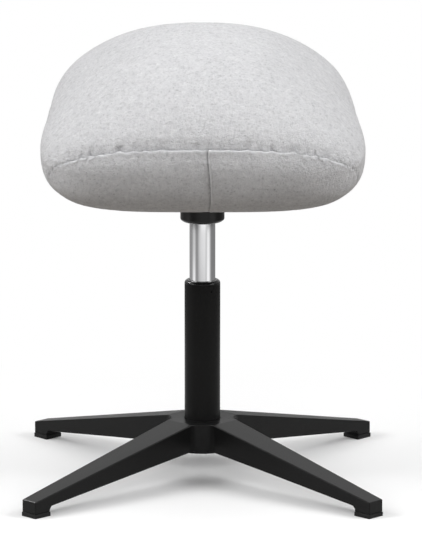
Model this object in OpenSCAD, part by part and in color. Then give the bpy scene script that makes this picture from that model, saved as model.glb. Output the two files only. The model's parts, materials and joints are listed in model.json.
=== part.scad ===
// Swivelling ottoman: a crowned cushion, tilted towards the front, on a gas column and a four-leg star base.
// Millimetres. Origin on the floor under the column, +Z up, the front of the cushion towards -Y.
// Rest pose: the column at its full height.

/* [Star base] */
// Distance from the column axis to the end of a leg
leg_reach = 333; // [300:1:380]
// Width of a leg, carried on to the column axis
leg_root_w = 50; // [46:0.5:56]
// Width of a leg at its outer end
leg_tip_w = 26.6; // [22:0.2:32]
// Height of a leg's top line, carried on to the column axis
leg_root_top = 93; // [90:0.5:105]
// Height of a leg's top edge at its outer end
leg_tip_top = 23; // [21:0.5:32]
// Height of a leg's underside, carried on to the column axis
leg_root_under = 50.5; // [46:0.5:56]
// Height of a leg's underside, carried on to its outer end
leg_tip_under = 9.5; // [9:0.25:12]
// Radius of the web between two legs, seen from above
web_r = 27; // [16:0.5:27.5]
// Height of the flat hub face above the floor
hub_top = 83.5; // [80:0.5:88]
// Radius of the ring below the hub
ring_r = 44.6; // [44.4:0.2:50]
// Height of the underside of the ring
ring_under = 41; // [38:0.5:43]
// Height of the top of the ring
ring_top = 55.5; // [50:0.5:60]
// Wall of the casting, under which each leg is hollow
cast_wall = 4.5; // [3:0.5:6]
// Number of cross ribs inside each leg
rib_count = 3; // [1:1:5]
// How far a rib's lower edge lies above the leg's lower edge
rib_recess = 5; // [2:0.5:6]

/* [Feet] */
// Length of the block at a leg's end
foot_len = 26.7; // [22:0.5:32]
// Slope between the block and the leg's underside
foot_notch = 3.5; // [2:0.5:5]
// Height of a glide pad
glide_h = 6; // [4:0.5:7]
// How far a pad stands proud of its block
glide_proud = 0.4; // [0:0.1:1]
// Diameter of a glide's stem
glide_stem_d = 7; // [5:0.5:9]
// Length of a glide's stem above its pad
glide_stem_len = 9; // [6:0.5:10]

/* [Column] */
// Outer diameter of the column tube
tube_d = 50; // [46:0.5:54]
// Wall of the column tube
tube_wall = 2.5; // [2:0.25:3]
// Height of the column tube's rim
tube_top = 276; // [256:1:300]
// Height of the column tube's lower end
tube_under = 37; // [35:0.5:38]
// Thickness of the plate that closes the column tube below
floor_plate_t = 3; // [2:0.5:4]
// How much the tube's radius falls along its seat in the hub
seat_taper = 1.1; // [0.8:0.1:1.1]
// Height of the guide bush's collar over the rim
collar_h = 6.5; // [5:0.5:9]
// Rounding of the collar
collar_round = 5; // [2:0.5:5]
// Length of the guide bush inside the tube
bush_len = 84; // [50:1:100]
// Depth of the crimp dimples below the tube's rim
dimple_drop = 8; // [6:0.5:14]
// Diameter of a crimp dimple
dimple_d = 3.2; // [2:0.2:5]
// Depth of a crimp dimple
dimple_depth = 1; // [0.5:0.1:1.5]

/* [Gas spring] */
// Outer diameter of the polished cylinder
cylinder_d = 36; // [34:0.5:38]
// Length of the polished cylinder that shows between the collar and the cap
cylinder_shown = 84; // [80:0.5:100]
// Wall of the polished cylinder
cylinder_wall = 2; // [1.5:0.25:2.5]
// How far the seat can be lowered
travel = 78; // [40:1:80]
// How much the cylinder's radius falls along its seat in the socket
socket_taper = 1; // [0.6:0.1:1.4]
// Diameter of the piston rod
rod_d = 10; // [8:0.5:12]
// Diameter of the shoulder of the rod that rests on the bearing
shoulder_d = 16; // [14:0.5:18]
// Height of that shoulder
shoulder_h = 3; // [2:0.5:5]
// Height of the piston
piston_h = 12; // [10:0.5:16]
// Length of the rod guide
rod_guide_h = 20; // [14:0.5:26]
// Thickness of the rod seal
rod_seal_h = 5; // [3:0.5:7]
// Length of the valve plug
valve_h = 33; // [26:0.5:40]
// Diameter of the release pin
pin_d = 8; // [6:0.5:10]

/* [Bearing] */
// Outer diameter of the thrust washers
washer_d = 32; // [28:0.5:36]
// Thickness of a thrust washer
washer_t = 2; // [1.5:0.25:3]
// Diameter of a bearing ball
ball_d = 5; // [4:0.25:6]
// Number of bearing balls
ball_count = 8; // [6:1:8]
// Diameter of the circle through the balls
ball_circle_d = 24; // [22:0.5:26]
// Height of the rubber buffer
buffer_h = 10; // [6:0.5:14]
// Outer diameter of the rubber buffer
buffer_d = 28; // [22:0.5:32]

/* [Seat mount] */
// Outer diameter of the black cap under the seat
cap_d = 61.6; // [60:0.2:66]
// Wall of the cap
cap_wall = 2.5; // [2:0.25:2.8]
// Rounding of the cap's lower edge
cap_round = 2.4; // [1:0.1:2.4]
// Outer diameter of the taper socket inside the cap
socket_d = 50; // [48:0.5:52]
// Depth of the cylinder's seat in the socket
socket_seat = 46; // [40:0.5:48]
// Width of the steel plate under the seat board
plate_w = 160; // [140:1:200]
// Depth of that plate
plate_d = 120; // [110:1:160]
// Thickness of that plate
plate_t = 3; // [2:0.5:4]
// Rounding of the plate's corners
plate_round = 12; // [4:1:20]
// Distance between the bolts, left to right
bolt_gap_w = 124; // [110:1:128]
// Distance between the bolts, front to back
bolt_gap_d = 84; // [80:1:90]
// Thread diameter of a bolt
bolt_d = 6; // [5:1:8]
// Head diameter of a bolt
head_d = 12; // [10:0.5:14]
// Head height of a bolt
head_h = 3.5; // [2.5:0.5:5]

/* [Release lever] */
// Distance from the column axis to the lever's pivot
pivot_x = 20; // [19:0.5:21]
// Diameter of the pivot pin
pivot_d = 4; // [3:0.5:5]
// Thickness of the lever bar, seen from the side
bar_t = 7; // [6:0.5:8]
// Width of the lever bar
bar_w = 7; // [5:0.5:8]
// Room between the lever bar and the cushion above it, on the column axis
lever_headroom = 8.5; // [7:0.5:12]
// How far the lever reaches to the right
lever_reach = 188; // [150:1:200]
// How far the lever's outer end hangs below its pivot
lever_drop = 19; // [14:0.5:24]
// Length of the grip
grip_len = 44; // [30:1:55]
// Width of the grip
grip_w = 26; // [18:1:36]
// Thickness of the grip
grip_t = 10; // [9:0.5:12]

/* [Cushion] */
// Width of the cushion at its front
cushion_w = 466; // [420:1:486]
// Depth of the cushion along its slope
cushion_d = 430; // [400:1:450]
// Slope of the cushion, rear edge up
seat_tilt = 12; // [8:0.5:13]
// Height of the cushion's widest line above its underside
waist_h = 74; // [60:0.5:84]
// Depth of the belly curve below the widest line
belly_h = 86; // [85:0.5:100]
// Rise of the dome above the widest line, at the rim
dome_h = 49; // [30:0.5:60]
// Extra crown from left to right
crown_w = 57; // [20:0.5:70]
// Extra crown from front to back
crown_d = 14.5; // [0:0.5:30]
// Squareness of the cushion seen from above, 2 is round
plan_power = 4.3; // [3:0.1:5]
// Squareness of the belly curve, 2 is round
belly_power = 2.8; // [2.4:0.1:3.2]
// Squareness of the dome curve, 2 is round
dome_power = 2.2; // [2:0.1:2.8]
// Share of its width that the cushion loses from front to rear
rear_narrow_share = 0.15; // [0:0.01:0.25]
// Height of the end seam's plane over the cushion's foremost line
seam_h = 118.5; // [100:0.5:125]
// How far an end panel wraps round the corners
end_wrap = 58; // [40:1:80]
// Offset of the seam down the middle of an end panel
middle_seam_x = 9; // [-20:1:20]
// Thickness of the felt cover
cover_t = 2; // [1.5:0.25:3]
// Width of the hem turned under the cushion
hem_w = 26; // [15:1:40]
// Thickness of the dust cover
dust_t = 0.8; // [0.5:0.1:1]
// Thickness of the seat board
board_t = 12; // [9:0.5:15]
// Distance from the edge of the underside to the board's edge
board_inset = 9; // [5:0.5:20]

/* [Hidden] */
$fn = 64;

// Clearances
overrun = 1;            // how far a cut runs past a face
press_gap = 0.02;       // radial, between pieces of one body
run_gap = 0.05;         // radial, between a shaft and its bore
rest_gap = 0.1;         // between faces that turn on each other
stop_gap = 1;           // left at the end of the travel
soft_gap = 0.3;         // round foam, felt and what they lie on
seam_gap = 0.6;         // between two cover panels

// Base, worked out
leg_headings = [45, 135, 225, 315];
leg_taper = (leg_root_w - leg_tip_w) / 2 / leg_reach;
top_slope = (leg_root_top - leg_tip_top) / leg_reach;
under_slope = (leg_root_under - leg_tip_under) / leg_reach;
web_angle = atan(leg_taper);
web_centre = (web_r / cos(web_angle) + leg_root_w / 2) / (1 + leg_taper);
web_touch = web_centre - web_r * sin(web_angle);
web_bite = 0.05;        // how far a web's arc runs into the leg's side
web_under = leg_root_under - under_slope * web_touch + web_bite;
foot_inner = leg_reach - foot_len;
pocket_inner = ring_r + cast_wall;
pocket_outer = foot_inner - foot_notch - cast_wall;
foot_middle = leg_reach - foot_len / 2;

// Column, worked out
tube_r = tube_d / 2;
bore_r = tube_r - tube_wall;
floor_z = tube_under + floor_plate_t;
collar_top = tube_top + collar_h;
bush_under = tube_top - bush_len;
cap_under = collar_top + cylinder_shown;
dimple_z = tube_top - dimple_drop;
dimple_count = 3;
dimple_heading = -60;
race_z = floor_z + washer_t;
cage_margin = 1;        // by which the ball cage is narrower than the washers
upper_race_z = race_z + ball_d + 2 * run_gap;
shoulder_z = upper_race_z + washer_t;
buffer_z = shoulder_z + shoulder_h;
buffer_top = buffer_z + buffer_h;
cylinder_r = cylinder_d / 2;
chamber_r = cylinder_r - cylinder_wall;
cylinder_under = buffer_top + travel + stop_gap;
seal_z = cylinder_under + rod_guide_h;
seal_t = 3;             // piston seal, across and along
piston_z = seal_z + rod_seal_h + stop_gap;
cylinder_top = cap_under + cap_wall + socket_seat;
neck_r = cylinder_r - socket_taper;
plug_r = neck_r - cylinder_wall;
clip_t = 1.2;
clip_r = shoulder_d / 2 - clip_t;
clip_washer_t = 1;
clip_groove_r = rod_d / 2 - clip_t;
clip_washer_z = tube_under - rest_gap - clip_washer_t;
clip_z = clip_washer_z - clip_t;
rod_under = clip_z - clip_t;

// Lever, worked out
pin_r = pin_d / 2;
pin_stroke = 2.6;       // how far the lever can press the pin
pin_lead = 2.6;         // how far the pressed pin still stands out
pivot_z = cylinder_top + pin_stroke + pin_lead + soft_gap + bar_t / 2;
seat_h = pivot_z + bar_t / 2 + lever_headroom;   // cushion's underside, on the column axis
pin_top = pivot_z - bar_t / 2 - soft_gap;
pin_under = cylinder_top - valve_h / 2 - pin_stroke;
slot_w = bar_w + 2 * stop_gap;
slot_under = pivot_z - bar_t / 2 - 2 * stop_gap;
knee_x = cap_d / 2 + bar_t;
grip_x = lever_reach - grip_len;
grip_z = pivot_z - lever_drop;
pivot_pin_len = 2 * (bar_w / 2 + pivot_d + stop_gap);

// Cushion, worked out
half_w = cushion_w / 2;
half_d = cushion_d / 2;
plan_steps = 48;
belly_steps = 5;
dome_steps = 11;
foam_inset = cover_t + soft_gap;
board_z = cover_t;
board_top = board_z + board_t;
plate_z = board_z - plate_t;
underside_share = profile(belly_start(0))[0];
nut_flange_d = 3 * bolt_d;
nut_flange_t = 1.5;
nut_wall = 1;
nut_barrel_d = bolt_d + 2 * nut_wall;
hex_key_d = bolt_d / 1.5;
bolt_tip_z = board_top - nut_flange_t;

// Plan and profile of the cushion: t is a heading, c climbs from the belly to the top
function plan_factor(t) = pow(pow(abs(cos(t)), plan_power) + pow(abs(sin(t)), plan_power), -1 / plan_power);
function plan_point(t, w, d) =
    let (f = plan_factor(t), v = sin(t) * f)
    [w * cos(t) * f * (1 - rear_narrow_share * (v + 1) / 2), d * v];
function profile(c) =
    let (p = c < 0 ? belly_power : dome_power,
         f = pow(pow(cos(c), p) + pow(abs(sin(c)), p), -1 / p))
    [cos(c) * f, sin(c) * f];
function belly_start(inset) =
    let (h = (waist_h - inset) / (belly_h - inset))
    -atan2(h, pow(1 - pow(h, belly_power), 1 / belly_power));
function crown(x, y, w, d) = crown_w * (1 - pow(x / w, 2)) + crown_d * (1 - pow(y / d, 2));
function cushion_point(t, c, inset) =
    let (w = half_w - inset, d = half_d - inset, s = profile(c), p = s[0] * plan_point(t, w, d))
    [p[0], p[1], waist_h + s[1] * (c < 0 ? belly_h - inset : dome_h - inset + crown(p[0], p[1], w, d))];
function climbs(inset) = concat(
    [for (k = [0 : belly_steps - 1]) belly_start(inset) * (1 - k / belly_steps)],
    [for (k = [0 : dome_steps - 1]) 90 * k / dome_steps]
);
function ring_index(ring, step) = ring * plan_steps + step % plan_steps;

module cushion_solid(inset) {
    rows = climbs(inset);
    rings = len(rows);
    points = concat(
        [for (c = rows) for (k = [0 : plan_steps - 1]) cushion_point(360 * k / plan_steps, c, inset)],
        [[0, 0, waist_h + dome_h - inset + crown(0, 0, half_w, half_d)]]
    );
    faces = concat(
        [[for (k = [0 : plan_steps - 1]) k]],
        [for (r = [0 : rings - 2]) for (k = [0 : plan_steps - 1])
            [ring_index(r, k), ring_index(r + 1, k), ring_index(r, k + 1)]],
        [for (r = [0 : rings - 2]) for (k = [0 : plan_steps - 1])
            [ring_index(r, k + 1), ring_index(r + 1, k), ring_index(r + 1, k + 1)]],
        [for (k = [0 : plan_steps - 1])
            [ring_index(rings - 1, k), rings * plan_steps, ring_index(rings - 1, k + 1)]]
    );
    polyhedron(points, faces);
}

// Outline of the flat underside, drawn in by an inset
module underside_outline(inset) {
    w = underside_share * half_w - inset;
    d = underside_share * half_d - inset;
    polygon([for (k = [0 : plan_steps - 1]) plan_point(360 * k / plan_steps, w, d)]);
}

module on_seat() {
    translate([0, 0, seat_h]) rotate([seat_tilt, 0, 0]) children();
}

module turned(r, h, z) {
    translate([0, 0, z]) cylinder(r = r, h = h);
}

module washer(outer_r, inner_r, h, z) {
    difference() {
        turned(outer_r, h, z);
        turned(inner_r, h + 2 * overrun, z - overrun);
    }
}

// Star base
module leg_plan() {
    root = leg_root_w / 2;
    tip = leg_tip_w / 2;
    polygon([[0, -root], [leg_reach, -tip], [leg_reach, tip], [0, root]]);
}

module leg_side() {
    polygon([
        [0, hub_top], [leg_reach, hub_top], [leg_reach, glide_h], [foot_inner, glide_h],
        [foot_inner, leg_root_under - under_slope * foot_inner - foot_notch],
        [foot_inner - foot_notch, leg_root_under - under_slope * (foot_inner - foot_notch)],
        [0, leg_root_under]
    ]);
}

module leg_body() {
    intersection() {
        linear_extrude(hub_top) leg_plan();
        rotate([90, 0, 0]) linear_extrude(leg_root_w + 2 * overrun, center = true) leg_side();
    }
}

// What is cut off above the sloping top of a leg
module leg_top_cut() {
    past = leg_reach + overrun;
    rotate([90, 0, 0]) linear_extrude(2 * web_centre, center = true) polygon([
        [0, leg_root_top], [past, leg_root_top - top_slope * past], [past, leg_root_top]
    ]);
}

module leg_pocket() {
    inner_half = leg_root_w / 2 - leg_taper * pocket_inner - cast_wall;
    outer_half = leg_root_w / 2 - leg_taper * pocket_outer - cast_wall;
    pitch = (pocket_outer - pocket_inner) / (rib_count + 1);
    difference() {
        intersection() {
            linear_extrude(hub_top) polygon([
                [pocket_inner, -inner_half], [pocket_outer, -outer_half],
                [pocket_outer, outer_half], [pocket_inner, inner_half]
            ]);
            rotate([90, 0, 0]) linear_extrude(leg_root_w, center = true) polygon([
                [0, 0], [0, leg_root_top - cast_wall],
                [leg_reach, leg_tip_top - cast_wall], [leg_reach, 0]
            ]);
        }
        for (k = [1 : rib_count]) leg_rib(pocket_inner + k * pitch);
    }
}

module leg_rib(x) {
    lower = leg_root_under - under_slope * x + rib_recess;
    translate([x - cast_wall / 2, -leg_root_w / 2, lower]) cube([cast_wall, leg_root_w, hub_top]);
}

// Rounded webs that join the legs around the hub
module hub_web() {
    turn = leg_headings[0];
    translate([0, 0, web_under]) linear_extrude(hub_top - web_under) difference() {
        rotate(turn) square(2 * web_touch, center = true);
        for (heading = leg_headings) rotate(heading + turn)
            translate([norm([web_centre, web_centre]), 0]) circle(web_r + web_bite);
    }
}

module star_base() {
    color([0.10, 0.10, 0.10]) difference() {
        union() {
            for (heading = leg_headings) rotate(heading) leg_body();
            hub_web();
            turned(ring_r, ring_top - ring_under, ring_under);
        }
        for (heading = leg_headings) rotate(heading) {
            leg_top_cut();
            leg_pocket();
            translate([foot_middle, 0, 0])
                turned(glide_stem_d / 2 + press_gap, glide_h + glide_stem_len + soft_gap, 0);
        }
        seat_cone(press_gap, ring_under - overrun, hub_top + overrun);
    }
}

// Seat of the column tube in the hub, a slight cone
module seat_cone(gap, z_low, z_high) {
    slope = seat_taper / (hub_top - tube_under);
    translate([0, 0, z_low]) cylinder(
        r1 = tube_r - slope * (hub_top - z_low) + gap,
        r2 = tube_r - slope * (hub_top - z_high) + gap,
        h = z_high - z_low
    );
}

module glide(heading) {
    reach = leg_reach + glide_proud;
    inner = foot_inner - glide_proud;
    half_at_tip = leg_tip_w / 2 + glide_proud;
    half_at_inner = leg_root_w / 2 - leg_taper * inner + glide_proud;
    color([0.06, 0.06, 0.06]) rotate(heading) {
        linear_extrude(glide_h) polygon([
            [inner, -half_at_inner], [reach, -half_at_tip], [reach, half_at_tip], [inner, half_at_inner]
        ]);
        translate([foot_middle, 0, 0]) turned(glide_stem_d / 2, glide_stem_len + overrun, glide_h - overrun);
    }
}

module glide_front_left() { glide(leg_headings[2]); }
module glide_front_right() { glide(leg_headings[3]); }
module glide_rear_left() { glide(leg_headings[1]); }
module glide_rear_right() { glide(leg_headings[0]); }

// Column tube and its bearing
module outer_tube() {
    color([0.07, 0.07, 0.07]) difference() {
        union() {
            seat_cone(0, tube_under, hub_top);
            turned(tube_r, tube_top - hub_top, hub_top);
        }
        turned(bore_r, tube_top, floor_z);
        turned(rod_d / 2 + rest_gap, tube_top, 0);
        for (k = [0 : dimple_count - 1]) rotate(dimple_heading + 360 * k / dimple_count)
            translate([tube_r - dimple_depth, 0, dimple_z]) rotate([0, 90, 0])
                cylinder(d = dimple_d, h = dimple_depth + overrun);
    }
}

module guide_bush() {
    rim = tube_r - collar_round;
    color([0.09, 0.09, 0.09]) difference() {
        union() {
            turned(bore_r - press_gap, bush_len + collar_h, bush_under);
            turned(tube_r, collar_h - collar_round, tube_top);
            turned(rim, collar_h, tube_top);
            translate([0, 0, collar_top - collar_round]) intersection() {
                rotate_extrude() translate([rim, 0]) circle(collar_round);
                turned(tube_r + overrun, collar_round + overrun, 0);
            }
        }
        turned(cylinder_r + run_gap, bush_len + collar_h + 2 * overrun, bush_under - overrun);
    }
}

module thrust_washer_lower() {
    color([0.60, 0.60, 0.62]) washer(washer_d / 2, rod_d / 2 + rest_gap, washer_t, floor_z);
}

module thrust_washer_upper() {
    color([0.60, 0.60, 0.62]) washer(washer_d / 2, rod_d / 2 + press_gap, washer_t, upper_race_z);
}

module ball_places() {
    for (k = [0 : ball_count - 1]) rotate(360 * k / ball_count)
        translate([ball_circle_d / 2, 0, race_z + run_gap + ball_d / 2]) children();
}

module ball_cage() {
    cage_t = ball_d / 2;
    color([0.75, 0.62, 0.35]) difference() {
        washer(washer_d / 2 - cage_margin, rod_d / 2 + cage_margin, cage_t, race_z + run_gap + cage_t / 2);
        ball_places() turned(ball_d / 2 + run_gap, ball_d, -ball_d / 2);
    }
}

module thrust_balls() {
    color([0.80, 0.80, 0.82]) ball_places() sphere(d = ball_d);
}

// Gas spring
module piston_rod() {
    color([0.80, 0.80, 0.82]) difference() {
        union() {
            turned(rod_d / 2, piston_z + piston_h - rod_under, rod_under);
            turned(shoulder_d / 2, shoulder_h, shoulder_z);
        }
        washer(rod_d / 2 + overrun, clip_groove_r, clip_t, clip_z);
    }
}

module rubber_buffer() {
    color([0.12, 0.12, 0.12]) washer(buffer_d / 2, rod_d / 2 + press_gap, buffer_h, buffer_z);
}

module piston() {
    groove_r = chamber_r - seal_t;
    color([0.75, 0.62, 0.35]) difference() {
        washer(chamber_r - run_gap, rod_d / 2 + press_gap, piston_h, piston_z);
        washer(chamber_r, groove_r, seal_t, piston_z + (piston_h - seal_t) / 2);
    }
}

module piston_seal() {
    color([0.12, 0.12, 0.12]) washer(
        chamber_r - run_gap / 2, chamber_r - seal_t + press_gap,
        seal_t - 2 * press_gap, piston_z + (piston_h - seal_t) / 2 + press_gap
    );
}

module clip_washer() {
    color([0.60, 0.60, 0.62]) washer(shoulder_d / 2, rod_d / 2 + press_gap, clip_washer_t, clip_washer_z);
}

// Spring clip, open on one side to push it on
module retaining_clip() {
    color([0.45, 0.45, 0.47]) difference() {
        washer(clip_r, clip_groove_r + press_gap, clip_t, clip_z);
        translate([0, -clip_groove_r, clip_z - overrun])
            cube([shoulder_d, 2 * clip_groove_r, clip_t + 2 * overrun]);
    }
}

module gas_cylinder() {
    color([0.85, 0.85, 0.87]) difference() {
        union() {
            turned(cylinder_r, cylinder_top - socket_seat - cylinder_under, cylinder_under);
            cylinder_neck(0, cylinder_top);
        }
        turned(chamber_r, cylinder_top - valve_h - cylinder_under + overrun, cylinder_under - overrun);
        turned(plug_r, valve_h + 2 * overrun, cylinder_top - valve_h - overrun);
    }
}

// Tapered upper end of the cylinder
module cylinder_neck(gap, top) {
    low = cylinder_top - socket_seat;
    slope = socket_taper / socket_seat;
    translate([0, 0, low]) cylinder(
        r1 = cylinder_r + gap, r2 = cylinder_r - slope * (top - low) + gap, h = top - low
    );
}

module rod_guide() {
    color([0.75, 0.62, 0.35])
        washer(chamber_r - press_gap, rod_d / 2 + run_gap, rod_guide_h, cylinder_under);
}

module rod_seal() {
    color([0.12, 0.12, 0.12]) washer(chamber_r - press_gap, rod_d / 2 + run_gap, rod_seal_h, seal_z);
}

module valve_plug() {
    color([0.70, 0.70, 0.72]) difference() {
        turned(plug_r - press_gap, valve_h, cylinder_top - valve_h);
        turned(pin_r + run_gap, valve_h, pin_under - pin_stroke);
    }
}

module release_pin() {
    color([0.80, 0.80, 0.82]) turned(pin_r, pin_top - pin_under, pin_under);
}

// Seat mount: what stands upright under the sloping plate is cut to the plate's slope
module under_plate() {
    difference() {
        children();
        on_seat() translate([-seat_h, -seat_h, plate_z]) cube(2 * seat_h);
    }
}

module lever_slot() {
    translate([0, -slot_w / 2, slot_under]) cube([cap_d, slot_w, cap_d]);
}

module taper_socket() {
    foot_z = cap_under + cap_wall;
    color([0.55, 0.55, 0.57]) under_plate() difference() {
        turned(socket_d / 2, seat_h, foot_z);
        cylinder_neck(press_gap, cylinder_top);
        turned(cylinder_r + press_gap, overrun, foot_z - overrun);
        turned(neck_r, seat_h, cylinder_top - press_gap);
        lever_slot();
        pivot_hole(press_gap);
    }
}

module hub_cap() {
    cap_r = cap_d / 2;
    color([0.07, 0.07, 0.07]) under_plate() difference() {
        union() {
            turned(cap_r - cap_round, seat_h, cap_under);
            turned(cap_r, seat_h, cap_under + cap_round);
            translate([0, 0, cap_under + cap_round])
                rotate_extrude() translate([cap_r - cap_round, 0]) circle(cap_round);
        }
        turned(cap_r - cap_wall, 2 * seat_h, cap_under + cap_wall);
        turned(cylinder_r + soft_gap, seat_h, cap_under - overrun);
        lever_slot();
    }
}

module plate_outline(grow) {
    w = plate_w / 2 - plate_round;
    d = plate_d / 2 - plate_round;
    r = plate_round + grow;
    square([2 * w, 2 * (d + r)], center = true);
    square([2 * (w + r), 2 * d], center = true);
    for (x = [-w, w]) for (y = [-d, d]) translate([x, y]) circle(r);
}

module bolt_places() {
    for (x = [-1, 1]) for (y = [-1, 1]) translate([x * bolt_gap_w / 2, y * bolt_gap_d / 2, 0]) children();
}

module mounting_plate() {
    color([0.13, 0.13, 0.13]) on_seat() difference() {
        translate([0, 0, plate_z]) linear_extrude(plate_t) plate_outline(0);
        bolt_places() turned(bolt_d / 2 + soft_gap, plate_t + 2 * overrun, plate_z - overrun);
    }
}

module plate_bolts() {
    socket_depth = head_h / 2;
    color([0.50, 0.50, 0.52]) on_seat() bolt_places() difference() {
        union() {
            turned(head_d / 2, head_h, plate_z - head_h);
            turned(bolt_d / 2, bolt_tip_z - plate_z, plate_z);
        }
        translate([0, 0, plate_z - head_h - overrun])
            cylinder(d = hex_key_d, h = socket_depth + overrun, $fn = 6);
    }
}

module tee_nuts() {
    color([0.65, 0.65, 0.60]) on_seat() bolt_places() difference() {
        union() {
            turned(nut_barrel_d / 2, board_t - nut_flange_t, board_z + nut_flange_t / 2);
            turned(nut_flange_d / 2, nut_flange_t, board_top - nut_flange_t);
        }
        turned(bolt_d / 2 + press_gap, board_t + 2 * overrun, board_z);
    }
}

// Release lever
module pivot_hole(gap) {
    translate([pivot_x, 0, pivot_z]) rotate([90, 0, 0])
        cylinder(d = pivot_d + 2 * gap, h = pivot_pin_len + 2 * gap, center = true);
}

module bar(from, to) {
    run = to - from;
    translate(from) rotate(atan2(run[1], run[0])) translate([0, -bar_t / 2]) square([norm(run), bar_t]);
    translate(from) circle(d = bar_t);
    translate(to) circle(d = bar_t);
}

module lever_arm() {
    color([0.45, 0.45, 0.47]) difference() {
        rotate([90, 0, 0]) linear_extrude(bar_w, center = true) {
            bar([0, pivot_z], [knee_x, pivot_z]);
            bar([knee_x, pivot_z], [grip_x, grip_z]);
            bar([grip_x, grip_z], [grip_x + grip_len / 2, grip_z]);
        }
        pivot_hole(run_gap);
    }
}

module lever_grip() {
    hollow = bar_t + 2 * press_gap;
    end_x = lever_reach - grip_w / 2;
    color([0.08, 0.08, 0.08]) difference() {
        translate([0, 0, grip_z - grip_t / 2]) linear_extrude(grip_t) {
            translate([end_x, 0]) circle(d = grip_w);
            translate([grip_x, -grip_w / 2]) square([end_x - grip_x, grip_w]);
        }
        rotate([90, 0, 0]) linear_extrude(bar_w + 2 * press_gap, center = true) {
            translate([grip_x - overrun, grip_z - hollow / 2])
                square([grip_len / 2 + overrun, hollow]);
            translate([grip_x + grip_len / 2, grip_z]) circle(d = hollow);
        }
    }
}

module lever_pin() {
    color([0.70, 0.70, 0.72]) translate([pivot_x, 0, pivot_z]) rotate([90, 0, 0])
        cylinder(d = pivot_d, h = pivot_pin_len, center = true);
}

// Cushion
module seat_board() {
    color([0.80, 0.66, 0.45]) on_seat() difference() {
        translate([0, 0, board_z]) linear_extrude(board_t) underside_outline(board_inset);
        bolt_places() turned(nut_barrel_d / 2 + press_gap, board_t + 2 * overrun, board_z - overrun);
        bolt_places() turned(nut_flange_d / 2 + soft_gap, nut_flange_t + overrun, board_top - nut_flange_t);
    }
}

module foam_core() {
    color([0.95, 0.90, 0.70]) on_seat() difference() {
        cushion_solid(foam_inset);
        translate([0, 0, -overrun]) linear_extrude(board_top + soft_gap + overrun)
            underside_outline(board_inset - soft_gap);
    }
}

// Region of the front end panel, seen from the side
module end_region(gap) {
    front = -half_d;
    over = half_d;
    rotate([90, 0, 90]) linear_extrude(2 * cushion_w, center = true) polygon([
        [front - over, seam_h + over - gap],
        [front + end_wrap - gap, seam_h - end_wrap],
        [front + end_wrap - gap, -over],
        [front - over, -over]
    ]);
}

module cover_shell() {
    difference() {
        cushion_solid(0);
        cushion_solid(cover_t);
        translate([0, 0, -overrun]) linear_extrude(cover_t + 2 * overrun)
            underside_outline(hem_w);
    }
}

module top_cover() {
    color([0.83, 0.83, 0.83]) on_seat() difference() {
        cover_shell();
        end_region(0);
        rotate(180) end_region(0);
    }
}

// One half of an end panel: turn is 0 in front and 180 in the rear, side is -1 left and 1 right
module end_cover(turn, side) {
    edge = middle_seam_x + side * seam_gap / 2;
    color([0.78, 0.78, 0.78]) on_seat() intersection() {
        cover_shell();
        rotate(turn) end_region(seam_gap);
        translate([side > 0 ? edge : edge - cushion_w, -cushion_d, -cushion_d])
            cube([cushion_w, 2 * cushion_d, 2 * cushion_d]);
    }
}

module front_cover_left() { end_cover(0, -1); }
module front_cover_right() { end_cover(0, 1); }
module rear_cover_left() { end_cover(180, -1); }
module rear_cover_right() { end_cover(180, 1); }

module dust_cover() {
    color([0.10, 0.10, 0.10]) on_seat() translate([0, 0, -dust_t]) linear_extrude(dust_t) difference() {
        underside_outline(board_inset);
        plate_outline(soft_gap);
    }
}

star_base();
glide_front_left();
glide_front_right();
glide_rear_left();
glide_rear_right();
outer_tube();
guide_bush();
thrust_washer_lower();
ball_cage();
thrust_balls();
thrust_washer_upper();
piston_rod();
rubber_buffer();
piston();
piston_seal();
clip_washer();
retaining_clip();
gas_cylinder();
rod_guide();
rod_seal();
valve_plug();
release_pin();
taper_socket();
hub_cap();
mounting_plate();
plate_bolts();
tee_nuts();
lever_arm();
lever_grip();
lever_pin();
seat_board();
foam_core();
top_cover();
front_cover_left();
front_cover_right();
rear_cover_left();
rear_cover_right();
dust_cover();
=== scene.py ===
"""Swivelling ottoman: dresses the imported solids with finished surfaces, a felt cushion and a studio.

Metres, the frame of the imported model: origin on the floor under the column, +Z up, the front towards -Y.
"""

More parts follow.
